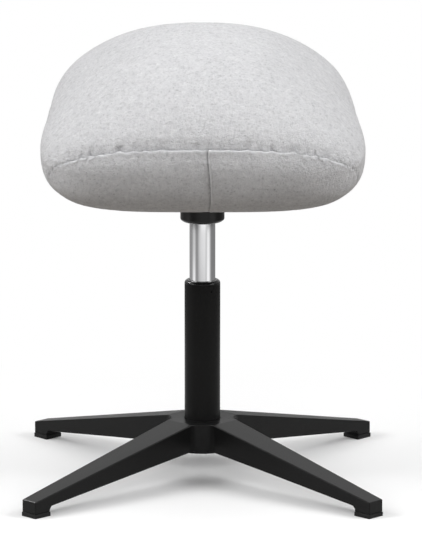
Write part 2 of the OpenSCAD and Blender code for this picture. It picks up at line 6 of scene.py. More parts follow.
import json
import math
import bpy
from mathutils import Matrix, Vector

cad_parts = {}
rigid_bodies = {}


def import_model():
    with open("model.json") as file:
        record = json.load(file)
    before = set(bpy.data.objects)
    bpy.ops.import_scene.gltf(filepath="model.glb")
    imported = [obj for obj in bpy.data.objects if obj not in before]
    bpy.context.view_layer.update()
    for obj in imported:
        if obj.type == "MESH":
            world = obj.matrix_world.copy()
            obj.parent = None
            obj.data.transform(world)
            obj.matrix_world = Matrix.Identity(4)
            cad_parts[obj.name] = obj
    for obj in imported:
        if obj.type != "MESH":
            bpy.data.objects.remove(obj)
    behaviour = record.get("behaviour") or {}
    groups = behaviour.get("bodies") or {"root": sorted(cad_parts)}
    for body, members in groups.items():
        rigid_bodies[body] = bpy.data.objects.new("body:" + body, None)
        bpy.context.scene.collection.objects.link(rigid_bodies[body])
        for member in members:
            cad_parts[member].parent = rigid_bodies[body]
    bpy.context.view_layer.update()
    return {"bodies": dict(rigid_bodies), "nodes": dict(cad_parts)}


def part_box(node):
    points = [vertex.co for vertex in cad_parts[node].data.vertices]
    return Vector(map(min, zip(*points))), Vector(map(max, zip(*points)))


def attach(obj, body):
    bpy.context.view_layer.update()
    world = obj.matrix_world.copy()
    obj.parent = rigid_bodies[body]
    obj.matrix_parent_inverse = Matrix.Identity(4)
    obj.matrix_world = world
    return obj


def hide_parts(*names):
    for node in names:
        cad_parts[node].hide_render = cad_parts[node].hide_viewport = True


bl_info = {
    "name": "Ottoman on a Gas Column",
    "version": (1, 0, 0),
    "blender": (4, 5, 0),
    "location": "View3D > Sidebar > Ottoman",
    "description": "Builds the cushion, the column, the base and the studio around the packed solids",
    "category": "Add Mesh",
}

import bpy
import numpy as np
from bpy.props import FloatProperty, FloatVectorProperty, IntProperty, PointerProperty
from mathutils import Matrix, Vector
from mathutils.kdtree import KDTree

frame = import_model()

PICTURE = (422, 540)
WHITE = (1.0, 1.0, 1.0)

# Points closer than this are one point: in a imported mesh, in a spun profile and on a cut
MERGE, SPIN_MERGE, CUT_MERGE = 0.00001, 0.000005, 0.00001
# Angle in degrees up to which neighbouring faces count as one flat face
FLAT = 0.6


# Properties

def length(name, description, default, low=0.0, high=2.0):
    return FloatProperty(name=name, description=description, default=default, min=low, max=high,
                         unit="LENGTH", precision=4)


def share(name, description, default):
    return FloatProperty(name=name, description=description, default=default, min=0.0, max=1.0,
                         subtype="FACTOR")


def number(name, description, default, low=0.0, high=5.0):
    return FloatProperty(name=name, description=description, default=default, min=low, max=high)


def watts(name, description, default):
    return FloatProperty(name=name, description=description, default=default, min=0.0, max=2000.0,
                         unit="POWER")


def colour(name, description, default):
    return FloatVectorProperty(name=name, description=description, default=default, min=0.0, max=1.0,
                               size=3, subtype="COLOR")


class OttomanCushionSizes(bpy.types.PropertyGroup):
    width: length("Width", "Width of the cushion at its front", 0.4665)
    depth: length("Depth", "Depth of the cushion along its slope", 0.430)
    underside: length("Underside", "Height of the cushion's underside on the column axis", 0.436)
    tilt: FloatProperty(name="Tilt", description="Slope of the cushion, rear edge up",
                        default=math.radians(12), min=0.0, max=0.5, subtype="ANGLE")
    waist: length("Waist", "Height of the widest line above the underside", 0.074)
    belly: length("Belly", "Depth of the belly curve below the widest line", 0.086)
    dome: length("Dome", "Rise of the dome above the widest line, at the rim", 0.049)
    crown_wide: length("Crown across", "Extra crown from left to right", 0.057)
    crown_deep: length("Crown along", "Extra crown from front to back", 0.0145)
    plan_power: number("Plan squareness", "Squareness seen from above, 2 is round", 4.3, 2.0, 8.0)
    belly_power: number("Belly squareness", "Squareness of the belly curve", 2.8, 2.0, 6.0)
    dome_power: number("Dome squareness", "Squareness of the dome curve", 2.2, 2.0, 6.0)
    narrowing: share("Narrowing", "Share of its width that the cushion loses from front to rear", 0.15)
    lean: share("Lean", "How far the cover has slipped to the left, per length towards the rear", 0.006)
    seam_height: length("Seam height", "Height of the end seam's plane over the foremost line", 0.1245)
    seam_arch: length("Seam arch", "How far the end seam falls towards its ends", 0.0110)
    end_wrap: length("End wrap", "How far an end panel wraps round the corners", 0.058)
    middle_seam: length("Middle seam", "Offset of the seam down an end panel's middle", 0.009, -0.1, 0.1)
    seam_depth: length("Seam depth", "How deep the felt is drawn in at a seam", 0.0028)
    seam_width: length("Seam width", "How far above a seam the felt turns in", 0.0040)
    ridge: length("Seam ridge", "How far the lower panel's folded edge stands out", 0.0010)
    pucker_pitch: length("Pucker pitch", "Distance between two puckers along a seam", 0.0215)
    pucker_depth: length("Pucker depth", "Depth of a pucker", 0.0034)
    scallop: length("Scallops", "How far the puckers pull the seam out of line", 0.0030)
    voxel: length("Voxel", "Voxel size of the simulated cushion", 0.005)
    start_inset: length("Start inset", "How much smaller the cushion starts before it swells", 0.006)
    swell: length("Swell", "How far a point of the cushion may move as it swells", 0.016)
    pressure: number("Pressure", "Pressure inside the simulated cushion", 4.0, 0.0, 20.0)
    calming: IntProperty(name="Calming", description="Smoothing passes over the swollen skin",
                         default=14, min=0, max=100)
    settle: share("Settling", "Share of the way from the swollen skin to the measured form", 0.93)
    hem_height: length("Hem height", "How far the dust cover's folded hem stands out", 0.0009)
    hem_width: length("Hem width", "Width of the dust cover's hem", 0.009)
    opening_gap: length("Opening gap", "Gap between the plate and the dust cover", 0.0005)
    opening_round: length("Opening corners", "Rounding of the opening in the dust cover", 0.010)


class OttomanMetalSizes(bpy.types.PropertyGroup):
    casting_bevel: length("Casting edges", "Rounding of the casting's edges", 0.0014)
    casting_merge: length("Casting merge", "Shortest edge the casting keeps before it is rounded", 0.0007)
    glide_bevel: length("Glide edges", "Rounding of a glide pad's edges", 0.0008)
    tube_radius: length("Tube radius", "Outer radius of the column tube", 0.025)
    tube_wall: length("Tube wall", "Wall of the column tube", 0.0025)
    tube_top: length("Tube rim", "Height of the column tube's rim", 0.276)
    collar_round: length("Collar rounding", "Rounding of the collar", 0.005)
    bore_gap: length("Bore gap", "Gap between the polished cylinder and the bush", 0.00005)
    cylinder_radius: length("Cylinder radius", "Outer radius of the polished cylinder", 0.018)
    cylinder_wall: length("Cylinder wall", "Wall of the polished cylinder", 0.002)
    socket_taper: length("Neck taper", "How much the cylinder's radius falls along its neck", 0.001)
    socket_depth: length("Neck length", "Length of the cylinder's tapered neck", 0.046)
    valve_length: length("Valve length", "Length of the valve plug in the neck", 0.033)
    fine_edge: length("Fine edges", "Rounding of the column's and the seat mount's edges", 0.0004)
    cap_edge: length("Solid cap's rounding", "Rounding of the packed cap's lower edge", 0.0024)
    cap_round: length("Cap rounding", "How far the round along the cap's lower edge reaches in", 0.0100)
    cap_sag: length("Cap sag", "How far the cap's floor bulges down", 0.0032)
    collar_drop: length("Collar drop", "How much lower than the packed one the collar ends", 0.0011)
    groove_depth: length("Collar groove", "Depth of the fine groove round the collar", 0.0005)
    lever_bevel: length("Lever edges", "Rounding of the lever bar's edges", 0.0012)
    grip_bevel: length("Grip edges", "Rounding of the grip's edges", 0.0036)


class OttomanColours(bpy.types.PropertyGroup):
    felt: colour("Felt", "Main colour of the felt", (0.705, 0.705, 0.720))
    # Also the colour of the painted shade in the creases
    felt_dark: colour("Dark fibres", "Colour of the dark fibres in the felt", (0.325, 0.325, 0.335))
    # Also the colour of the painted highlight on the folded edges
    felt_light: colour("Light fibres", "Colour of the light fibres in the felt", (0.910, 0.910, 0.920))
    casting: colour("Casting", "Black coating of the star base", (0.005, 0.005, 0.005))
    tube: colour("Tube", "Black coating of the column tube", (0.012, 0.012, 0.012))
    plastic: colour("Plastic", "Black plastic of the cap, collar and glides", (0.0035, 0.0035, 0.0035))
    chrome: colour("Chrome", "Polished chrome", (0.78, 0.78, 0.79))
    steel: colour("Steel", "Zinc-plated steel", (0.42, 0.42, 0.44))
    brass: colour("Brass", "Brass of the inner pieces", (0.62, 0.46, 0.20))
    rubber: colour("Rubber", "Rubber of the seals and buffer", (0.020, 0.020, 0.020))
    birch: colour("Birch", "Birch plywood of the seat board", (0.62, 0.46, 0.28))
    foam: colour("Foam", "Seat foam", (0.80, 0.74, 0.50))
    cloth: colour("Dust cloth", "Black cloth under the cushion", (0.016, 0.016, 0.017))


class OttomanStageSizes(bpy.types.PropertyGroup):
    camera_distance: length("Camera distance", "Distance in front of the column", 5.9875, 0.5, 20.0)
    camera_height: length("Camera height", "Height of the camera", 1.5234, 0.0, 5.0)
    aim_height: length("Aim height", "Height on the column axis that the camera looks at", 0.2945)
    focal_pixels: number("Focal length", "Focal length in pixels of the picture", 4379.8, 100.0, 20000.0)
    axis_pixel: number("Axis column", "Picture column of the column axis", 202.4, 0.0, float(PICTURE[0]))
    ceiling: watts("Ceiling light", "Power of the overhead light", 45.0)
    key: watts("Front light", "Power of the large light above the front", 21.0)
    left: watts("Left light", "Power of the light on the left", 69.0)
    right: watts("Right light", "Power of the light on the right", 66.0)
    fill: number("Room light", "Strength of the even light from all round", 0.12)
    card_radius: length("Card radius", "Distance of the cards from the column", 0.95, 0.2, 5.0)
    card_height: length("Card height", "Height of the cards", 0.3)
    card_light: number("Card light", "Brightness of the cards in reflections", 1.15)
    strip_light: number("Strip light", "Brightness of the strips in reflections", 45.0, 0.0, 500.0)
    floor_glow: share("Floor white", "What the floor adds to its own colour for the camera", 0.11)
    floor_bounce: share("Floor bounce", "How pale the floor is for the light that it throws back", 0.33)


# Modelling helpers

def fresh():
    """Leaves edit mode and deselects everything."""
    active = bpy.context.view_layer.objects.active
    if active is not None and active.mode != "OBJECT":
        bpy.ops.object.mode_set(mode="OBJECT")
    bpy.ops.object.select_all(action="DESELECT")


def pick(piece):
    fresh()
    piece.select_set(True)
    bpy.context.view_layer.objects.active = piece
    return piece


def enter(choice="SELECT"):
    """Goes to edit mode on the active piece, with all of it selected or none."""
    bpy.ops.object.mode_set(mode="EDIT")
    bpy.ops.mesh.select_all(action=choice)


def leave():
    bpy.ops.object.mode_set(mode="OBJECT")


def named(name):
    piece = bpy.context.view_layer.objects.active
    piece.name = name
    piece.data.name = name
    return piece


def settle(piece):
    """Puts the object's place, turn and scale into its mesh."""
    pick(piece)
    bpy.ops.object.transform_apply(location=True, rotation=True, scale=True)
    return piece


def finish_with(piece, kind, **settings):
    """Adds a modifier with these settings and applies it."""
    pick(piece)
    bpy.ops.object.modifier_add(type=kind)
    modifier = piece.modifiers[-1]
    for key, value in settings.items():
        setattr(modifier, key, value)
    bpy.ops.object.modifier_apply(modifier=modifier.name)
    return piece


def copy_of_node(node, name, merge=MERGE):
    """A merged copy of a CAD node's mesh with flat faces joined, and then points closer than merge."""
    source = frame["nodes"][node]
    mesh = source.data.copy()
    mesh.materials.clear()
    piece = bpy.data.objects.new(name, mesh)
    mesh.name = name
    bpy.context.scene.collection.objects.link(piece)
    pick(piece)
    enter()
    bpy.ops.mesh.customdata_custom_splitnormals_clear()
    for distance in (MERGE, merge):
        bpy.ops.mesh.select_all(action="SELECT")
        bpy.ops.mesh.remove_doubles(threshold=distance)
        bpy.ops.mesh.dissolve_limited(angle_limit=math.radians(FLAT))
    leave()
    return piece


def bevelled(piece, width, segments=3, angle=30.0, clamp=True):
    return finish_with(piece, "BEVEL", use_clamp_overlap=clamp, width=width, segments=segments,
                       limit_method="ANGLE", angle_limit=math.radians(angle), harden_normals=False)


def smooth(piece, angle=35.0):
    pick(piece)
    bpy.ops.object.shade_smooth_by_angle(angle=math.radians(angle))
    return piece


def evened(piece, angle=35.0):
    """Smooth shading that leaves flat faces flat beside rounded edges."""
    return finish_with(smooth(piece, angle), "WEIGHTED_NORMAL", keep_sharp=True)


def rounded(piece, width, segments=3, angle=30.0, clamp=True, shading=35.0):
    """Rounds the edges that are sharper than the angle, and shades the piece evenly."""
    return evened(bevelled(piece, width, segments, angle, clamp), shading)


def ball(name, segments, rings):
    """A ball, with each point's heading round it and its climb from the middle."""
    fresh()
    bpy.ops.mesh.primitive_uv_sphere_add(segments=segments, ring_count=rings, radius=1.0)
    piece = named(name)
    p = coords(piece.data)
    return piece, np.arctan2(p[:, 1], p[:, 0]), np.arcsin(np.clip(p[:, 2], -1, 1))


def lathe(name, profile, steps=128):
    """A closed profile of (radius, height) spun round the column axis."""
    fresh()
    bpy.ops.mesh.primitive_plane_add(size=0.01)
    piece = named(name)
    enter()
    bpy.ops.mesh.delete(type="VERT")
    leave()
    mesh = piece.data
    mesh.vertices.add(len(profile))
    for vertex, (r, z) in zip(mesh.vertices, profile):
        vertex.co = (r, 0.0, z)
    mesh.edges.add(len(profile))
    for k, edge in enumerate(mesh.edges):
        edge.vertices = (k, (k + 1) % len(profile))
    mesh.update()
    pick(piece)
    enter()
    bpy.ops.mesh.spin(steps=steps, angle=2 * math.pi, center=(0, 0, 0), axis=(0, 0, 1))
    bpy.ops.mesh.select_all(action="SELECT")
    bpy.ops.mesh.remove_doubles(threshold=SPIN_MERGE)
    bpy.ops.mesh.normals_make_consistent(inside=False)
    leave()
    return piece


def arc(centre_r, centre_z, radius, start, end, steps):
    """Points of (radius, height) on an arc, in degrees from the horizontal."""
    turns = [math.radians(start + (end - start) * k / steps) for k in range(steps + 1)]
    return [(centre_r + radius * math.cos(turn), centre_z + radius * math.sin(turn)) for turn in turns]


def read(items, key, width=1, kind=np.float64):
    flat = np.empty(width * len(items), dtype=kind)
    items.foreach_get(key, flat)
    return flat if width == 1 else flat.reshape(-1, width)


def coords(mesh):
    return read(mesh.vertices, "co", 3)


def put_coords(mesh, points):
    mesh.vertices.foreach_set("co", np.ascontiguousarray(points, dtype=np.float32).ravel())
    mesh.update()


def bell(x, width, middle=0.0):
    """1 at the middle, falling off smoothly to both sides."""
    return np.exp(-((x - middle) / width) ** 2)


def rise(x, start, run):
    """0 up to start, and 1 from a run further on."""
    return np.clip((x - start) / run, 0, 1)


# Materials

class Value:
    """A socket that Python's operators combine through Math nodes."""

    def __init__(self, finish, socket):
        self.finish = finish
        self.socket = socket

    def math(self, operation, other, turned=False):
        first, second = (other, self) if turned else (self, other)
        return self.finish.add("ShaderNodeMath", {"operation": operation}, {0: first, 1: second}).out()

    def __add__(self, other):
        return self.math("ADD", other)

    __radd__ = __add__

    def __mul__(self, other):
        return self.math("MULTIPLY", other)

    __rmul__ = __mul__

    def __sub__(self, other):
        return self.math("SUBTRACT", other)

    def __rsub__(self, other):
        return self.math("SUBTRACT", other, turned=True)

    def __truediv__(self, other):
        return self.math("DIVIDE", other)

    def clipped(self):
        return self.math("MAXIMUM", 0.0).math("MINIMUM", 1.0)

    def ramp(self, low, high):
        """0 at low, 1 at high, smooth between."""
        return self.finish.add(
            "ShaderNodeMapRange", {"interpolation_type": "SMOOTHSTEP", "clamp": True},
            {"Value": self, "From Min": low, "From Max": high}).out()


class Node:
    """A node whose outputs are read as values."""

    def __init__(self, finish, node):
        self.finish = finish
        self.node = node

    def out(self, name=0):
        return Value(self.finish, self.node.outputs[name])


class Finish:
    """The nodes of a material, or of the world, in the making."""

    def __init__(self, name, kind="Material"):
        self.material = (bpy.data.worlds if kind == "World" else bpy.data.materials).new(name)
        self.material.use_nodes = True
        self.tree = self.material.node_tree
        self.tree.nodes.clear()
        self.output = self.tree.nodes.new("ShaderNodeOutput" + kind)
        if kind == "Material":
            self.place = self.add("ShaderNodeTexCoord").out("Object")

    def add(self, kind, settings=None, sockets=None):
        """A node of a type, with its settings and then the values or links of its sockets."""
        node = self.tree.nodes.new(kind)
        for key, value in (settings or {}).items():
            if key == "stops":
                for stop, (position, tint) in zip(list(node.color_ramp.elements), value[:2]):
                    stop.position, stop.color = position, (*tint, 1.0)
                for position, tint in value[2:]:
                    node.color_ramp.elements.new(position).color = (*tint, 1.0)
            else:
                setattr(node, key, value)
        for key, value in (sockets or {}).items():
            self.feed(node.inputs[key], value)
        return Node(self, node)

    def feed(self, socket, value):
        if isinstance(value, Value):
            self.tree.links.new(value.socket, socket)
        elif socket.type == "RGBA" and len(value) == 3:
            socket.default_value = (*value, 1.0)
        else:
            socket.default_value = value

    def noise(self, scale, detail, roughness=0.5, stretch=None, turn=(0.0, 0.0, 0.0)):
        """Noise of so many patches to the metre, squeezed along each axis by stretch and then turned."""
        place = self.place
        if stretch:
            place = self.add("ShaderNodeMapping", None,
                             {"Vector": place, "Scale": stretch, "Rotation": turn}).out()
        sockets = {"Vector": place, "Scale": scale, "Detail": detail, "Roughness": roughness}
        return self.add("ShaderNodeTexNoise", None, sockets).out("Fac")

    def cells(self, scale):
        """Distance from the middle of the nearest cell, of so many cells to the metre."""
        return self.add("ShaderNodeTexVoronoi", None, {"Vector": self.place, "Scale": scale}).out("Distance")

    def mark(self, name):
        """A value that the mesh carries at each point."""
        return self.add("ShaderNodeAttribute", {"attribute_name": name}).out("Fac")

    def blend(self, factor, first, second):
        """The first colour where factor is 0, the second where it is 1."""
        return self.add("ShaderNodeMix", {"data_type": "RGBA"}, {0: factor, 6: first, 7: second}).out(2)

    def bump(self, height, strength, distance):
        return self.add("ShaderNodeBump", None,
                        {"Height": height, "Strength": strength, "Distance": distance}).out()

    def glow(self, tint, strength):
        return self.add("ShaderNodeEmission", None, {"Color": tint, "Strength": strength}).out()

    def mix(self, factor, first, second):
        """The first shader where factor is 0, the second where it is 1."""
        return self.add("ShaderNodeMixShader", None, {0: factor, 1: first, 2: second}).out()

    def seen_directly(self):
        """1 for the camera, and for rays that a gloss or a glass sends on, 0 for all other light."""
        ray = self.add("ShaderNodeLightPath")
        seen, gloss, glass = (ray.out("Is %s Ray" % kind) for kind in ("Camera", "Glossy", "Transmission"))
        return (seen + gloss + glass).clipped()

    def ends_in(self, shader):
        self.feed(self.output.inputs[0], shader)
        return self.material

    def surface(self, **sockets):
        return self.ends_in(self.add("ShaderNodeBsdfPrincipled", None,
                                     {key.replace("_", " "): value for key, value in sockets.items()}).out())


def shaded(tint, factor, lift=0.0):
    """A darker or paler tint of the same hue."""
    return tuple(min(1.0, factor * c + lift) for c in tint)


def dress(piece, material):
    piece.data.materials.clear()
    piece.data.materials.append(material)
    for polygon in piece.data.polygons:
        polygon.material_index = 0


def stands_for(piece, node, material):
    """Dresses a piece that replaces a CAD node and moves with that node's body."""
    dress(piece, material)
    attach(piece, body_of(node))
    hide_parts(node)


def body_of(node):
    holder = frame["nodes"][node].parent
    return next(name for name, empty in frame["bodies"].items() if empty == holder)


def rounded_copy(node, name, slot, material, width, segments=2, angle=40.0, **more):
    """A copy of a CAD node with rounded edges that replaces it."""
    stands_for(rounded(copy_of_node(node, name), width, segments, angle, **more), node, material)


def dress_node(node, material):
    piece = frame["nodes"][node]
    if not piece.material_slots:
        piece.data.materials.append(None)
    for slot in piece.material_slots:
        slot.material = material


def coated_metal(name, tint, roughness, grain=1.0, gloss=0.13):
    """Black powder coating: fine orange peel, a little dust, unevenness in its gloss and painted glints of
    its sparkle.
    """
    f = Finish(name)
    peel = f.noise(900.0, 2.0)
    cloud = f.noise(14.0, 4.0)
    dust = f.noise(240.0, 5.0, 0.7).ramp(0.56, 0.80)
    # Pale specks painted into the colour for the glints of the coating's sparkle, scaled by grain like the
    # orange peel
    sparkle_glints = f.noise(700.0, 2.0, 0.6).ramp(0.60, 0.76)
    # Real dust and clouding, together with the painted glints
    dust_and_glints = (dust * 0.35 + cloud * 0.15 + sparkle_glints * 0.5 * grain).clipped()
    return f.surface(
        Base_Color=f.blend(dust_and_glints, tint, shaded(tint, 2.0, 0.012)),
        Roughness=(cloud - 0.5) * 0.10 + peel * 0.06 + roughness - 0.03,
        Specular_IOR_Level=gloss, Normal=f.bump(peel, 0.25 * grain, 0.0002))


def moulded_plastic(name, tint, roughness, gloss=0.2):
    """Moulded black plastic with a fine spark-eroded grain."""
    f = Finish(name)
    grain = f.noise(1600.0, 3.0)
    cloud = f.noise(20.0, 3.0)
    return f.surface(
        Base_Color=f.blend(grain * 0.4 + cloud * 0.3, tint, shaded(tint, 1.8, 0.006)),
        Roughness=(cloud - 0.5) * 0.08 + (grain - 0.5) * 0.08 + roughness,
        Specular_IOR_Level=gloss, Normal=f.bump(grain, 0.2, 0.00012))


def polished_chrome(name, tint):
    """Polished chrome with faint rings from grinding and wiping."""
    f = Finish(name)
    rings = f.noise(60.0, 3.0, 0.6, stretch=(1.0, 1.0, 26.0))
    smear = f.noise(22.0, 4.0, 0.6)
    return f.surface(
        Base_Color=f.blend(smear.ramp(0.45, 0.75) * 0.5, tint, shaded(tint, 0.93)), Metallic=1.0,
        Roughness=smear.ramp(0.4, 0.8) * 0.05 + rings * 0.03 + 0.05,
        Normal=f.bump(rings, 0.015, 0.0001))


def turned_steel(name, tint, roughness=0.28):
    """Zinc-plated or turned metal with fine tool marks and a clouded surface."""
    f = Finish(name)
    marks = f.noise(120.0, 3.0, 0.6, stretch=(1.0, 1.0, 30.0))
    cloud = f.noise(90.0, 5.0, 0.6)
    return f.surface(
        Base_Color=f.blend(cloud.ramp(0.35, 0.7) * 0.6, tint, shaded(tint, 0.72)), Metallic=1.0,
        Roughness=cloud * 0.16 + marks * 0.08 + roughness - 0.1,
        Normal=f.bump(marks, 0.12, 0.0001))


def rubber(name, tint):
    """Matt rubber with a fine uneven skin."""
    f = Finish(name)
    skin = f.noise(500.0, 4.0, 0.6)
    return f.surface(Base_Color=f.blend(skin, tint, shaded(tint, 1.6)),
                     Roughness=skin * 0.15 + 0.6, Normal=f.bump(skin, 0.2, 0.0002))


def plywood(name, tint):
    """Birch plywood with long grain and fine pores."""
    f = Finish(name)
    grain = f.noise(9.0, 6.0, 0.6, stretch=(1.0, 14.0, 14.0))
    pores = f.noise(160.0, 3.0, 0.6, stretch=(1.0, 9.0, 9.0)).ramp(0.55, 0.7)
    return f.surface(Base_Color=f.blend(grain.ramp(0.3, 0.7) * 0.6 + pores * 0.3, tint, shaded(tint, 0.66)),
                     Roughness=grain * 0.15 + 0.5, Normal=f.bump(pores, 0.2, 0.0003))


def open_foam(name, tint):
    """Cut foam with open pores, each darker towards its sunken middle: painted shade in the pores."""
    f = Finish(name)
    pores = f.cells(700.0)
    # Painted shade: the colour darkens into each pore, where the bump sinks
    return f.surface(Base_Color=f.blend(pores, shaded(tint, 0.6), tint), Roughness=0.9,
                     Normal=f.bump(pores, 0.5, 0.0006))


def dust_cloth(name, tint):
    """Spunbonded cloth with pressed dots and stray fibres."""
    f = Finish(name)
    dots = f.cells(420.0).ramp(0.12, 0.36)
    fibres = f.noise(300.0, 4.0, 0.7, stretch=(1.0, 6.0, 1.0), turn=(0.0, 0.0, 0.6))
    return f.surface(Base_Color=f.blend(fibres.ramp(0.4, 0.7) * dots, tint, shaded(tint, 2.2, 0.01)),
                     Roughness=dots * 0.15 + 0.75, Normal=f.bump(dots + fibres * 0.5, 0.4, 0.0004))


def melange_felt(name, tints):
    """Melange wool felt: light and dark fibres matted into flecks over soft clouds, painted shade in creases,
    painted highlight on folded edges.
    """
    f = Finish(name)
    clouds = f.noise(30.0, 3.0, 0.5)
    lumps = f.noise(120.0, 5.0, 0.68)
    mats = f.noise(250.0, 4.0, 0.72)
    flecks = (1.0 - f.cells(210.0).ramp(0.10, 0.30)) * f.noise(150.0, 2.0).ramp(0.50, 0.60)
    specks = f.noise(480.0, 4.0, 0.75)
    hairs_a = f.noise(430.0, 3.0, 0.6, stretch=(1.0, 3.0, 2.0), turn=(0.3, 0.2, 0.5))
    hairs_b = f.noise(430.0, 3.0, 0.6, stretch=(3.0, 1.0, 2.0), turn=(0.1, 0.4, -0.4))
    fuzz = f.noise(1500.0, 3.0, 0.7)
    # Marks on the mesh for painted shade in the creases and a painted highlight along the folded edges
    crease, edge = f.mark("crease"), f.mark("edge")
    dark = (hairs_a.ramp(0.54, 0.74) * 0.32 + mats.ramp(0.52, 0.70) * 0.38 + lumps.ramp(0.5, 0.72) * 0.27
            + flecks * 0.40).clipped()
    light = (hairs_b.ramp(0.54, 0.74) * 0.40 + clouds.ramp(0.45, 0.75) * 0.14
             + (1.0 - mats).ramp(0.54, 0.72) * 0.48 + (1.0 - lumps).ramp(0.5, 0.72) * 0.36
             + specks.ramp(0.60, 0.78) * 0.5).clipped()
    base = f.blend(light, tints.felt, tints.felt_light)
    base = f.blend(dark, base, tints.felt_dark)
    # Painted shade darkens the creases, and a painted highlight pales the folded edges
    base = f.blend(crease * 0.5, base, tints.felt_dark)
    base = f.blend(edge * 0.35, base, tints.felt_light)
    height = (hairs_a * 0.3 + hairs_b * 0.3 + fuzz * 0.1 + specks * 0.8 + mats * 1.1 + lumps * 1.2
              - flecks * 0.3) * (1.0 - edge * 0.8)
    return f.surface(Base_Color=base, Roughness=0.95, Specular_IOR_Level=0.12,
                     Sheen_Weight=0.04, Sheen_Roughness=0.5, Normal=f.bump(height, 1.0, 0.0019))


# Cushion shape, in the seat's own frame: x to the right, y to the rear, z away from the underside

# Steps of the swelling, and the height over the underside up to which the felt is held to the board
SWELL_STEPS, HELD = 20, 0.004
# Rounding where the two planes that bound an end panel meet
CORNER = 0.008
# How near to a seam's plane the faces lie that a row is cut into, and the merging on such a cut
ROW_REACH, ROW_MERGE = 0.004, 0.00002
# Finer faces: how far they reach under an end seam, over it, and to the sides of the middle seam
FINE_UNDER, FINE_OVER, FINE_SIDE = 0.014, 0.020, 0.012
# Edge rows across the front and rear end seams, and across the middle seam
FRONT_ROWS = (-0.0030, -0.0020, -0.0012, -0.0005, 0.0, 0.0006, 0.0014, 0.0026)
REAR_ROWS = (-0.0022, -0.0008, 0.0, 0.0010)
MIDDLE_ROWS = (-0.0022, -0.0010, -0.0004, 0.0004, 0.0010, 0.0022)
# Where a thing begins and over how far it grows to the full: the calm at the corners and over the underside,
# the flatter edge on the far left, the puckers outside the middle, and all that seams do near the underside
CORNERS, FROM_BELOW, FAR_LEFT = (0.172, 0.022), (0.030, 0.040), (0.135, 0.025)
OUTER_PUCKERS, SEAM_FADE = (0.050, 0.060), (0.003, 0.012)
# The turn at a seam: share of its slow part, and lengths of the fall-off of its steep part and under the seam
TURN_SLOW, TURN_STEEP, TURN_UNDER = 0.55, 0.0012, 0.0007
# Width of a bell and how far from the seam its middle lies: the hollow over a seam, the folded edge and the
# fullness under it, a pucker over and under it, the painted shade along the seam and in the puckers, and the
# painted highlight on the folded edge
HOLLOW, FOLDED_EDGE, FULLNESS = (0.011, 0.002), (0.0011, 0.0017), (0.004, 0.004)
PUCKER_OVER, PUCKER_UNDER = (0.0065, 0.0035), (0.004, 0.005)
PAINTED_SEAM_SHADE, PAINTED_PUCKER_SHADE, PAINTED_EDGE_HIGHLIGHT = (0.0009, 0.0003), (0.004, 0.0025), (0.0013, 0.0017)
# The same across the middle seam, to the right: its folded edge, the hollow beside it, its painted shade line
# and its painted highlight line
JOIN_EDGE, JOIN_HOLLOW = (0.0013, 0.0018), (0.005, -0.004)
PAINTED_JOIN_SHADE, PAINTED_JOIN_HIGHLIGHT = (0.0008, -0.0003), (0.0010, 0.0016)
# Heights of the forms: hollow, fullness, plain stitch, and the middle seam's edge and hollow
HOLLOW_DEPTH, FULL_HEIGHT, STITCH_DEPTH, JOIN_HEIGHT, JOIN_DEPTH = 0.0014, 0.0009, 0.0016, 0.0012, 0.0010


def seat_place(c):
    return Matrix.Translation((0, 0, c.underside)) @ Matrix.Rotation(c.tilt, 4, "X")


def plan_points(c, heading, w, d):
    """The cushion's outline seen from above, w and d from its middle."""
    co, si = np.cos(heading), np.sin(heading)
    f = (np.abs(co) ** c.plan_power + np.abs(si) ** c.plan_power) ** (-1 / c.plan_power)
    v = si * f
    return w * co * f * (1 - c.narrowing * (v + 1) / 2), d * v


def rim_share(c, climb):
    """How far out and how far up the skin lies at a climb, as shares of the full reach."""
    power = np.where(climb < 0, c.belly_power, c.dome_power)
    f = (np.abs(np.cos(climb)) ** power + np.abs(np.sin(climb)) ** power) ** (-1 / power)
    return np.cos(climb) * f, np.sin(climb) * f


def belly_start(c, inset):
    """The climb at which the belly curve leaves the flat underside."""
    h = (c.waist - inset) / (c.belly - inset)
    return -math.atan2(h, (1 - h ** c.belly_power) ** (1 / c.belly_power))


def cushion_points(c, heading, climb, inset):
    """Points of the cushion's skin, drawn in by inset, with the flat underside below the belly."""
    w, d = c.width / 2 - inset, c.depth / 2 - inset
    start = belly_start(c, inset)
    flat = np.clip((climb + math.pi / 2) / (start + math.pi / 2), 0.0, 1.0)
    out, up = rim_share(c, np.maximum(climb, start))
    x, y = plan_points(c, heading, w, d)
    x, y = x * out * flat, y * out * flat
    tall = c.crown_wide * (1 - (x / w) ** 2) + c.crown_deep * (1 - (y / d) ** 2)
    x = x - c.lean * y
    z = c.waist + up * np.where(climb < 0, c.belly - inset, c.dome - inset + tall)
    return np.stack([x, y, np.where(climb <= start, inset, z)], 1)


def cushion_blank(c):
    """A ball pushed into the cushion's form, a little too small, with even voxel faces."""
    piece, heading, climb = ball("felt_cushion", 128, 80)
    put_coords(piece.data, cushion_points(c, heading, climb, c.start_inset))
    return finish_with(piece, "REMESH", mode="VOXEL", voxel_size=c.voxel)


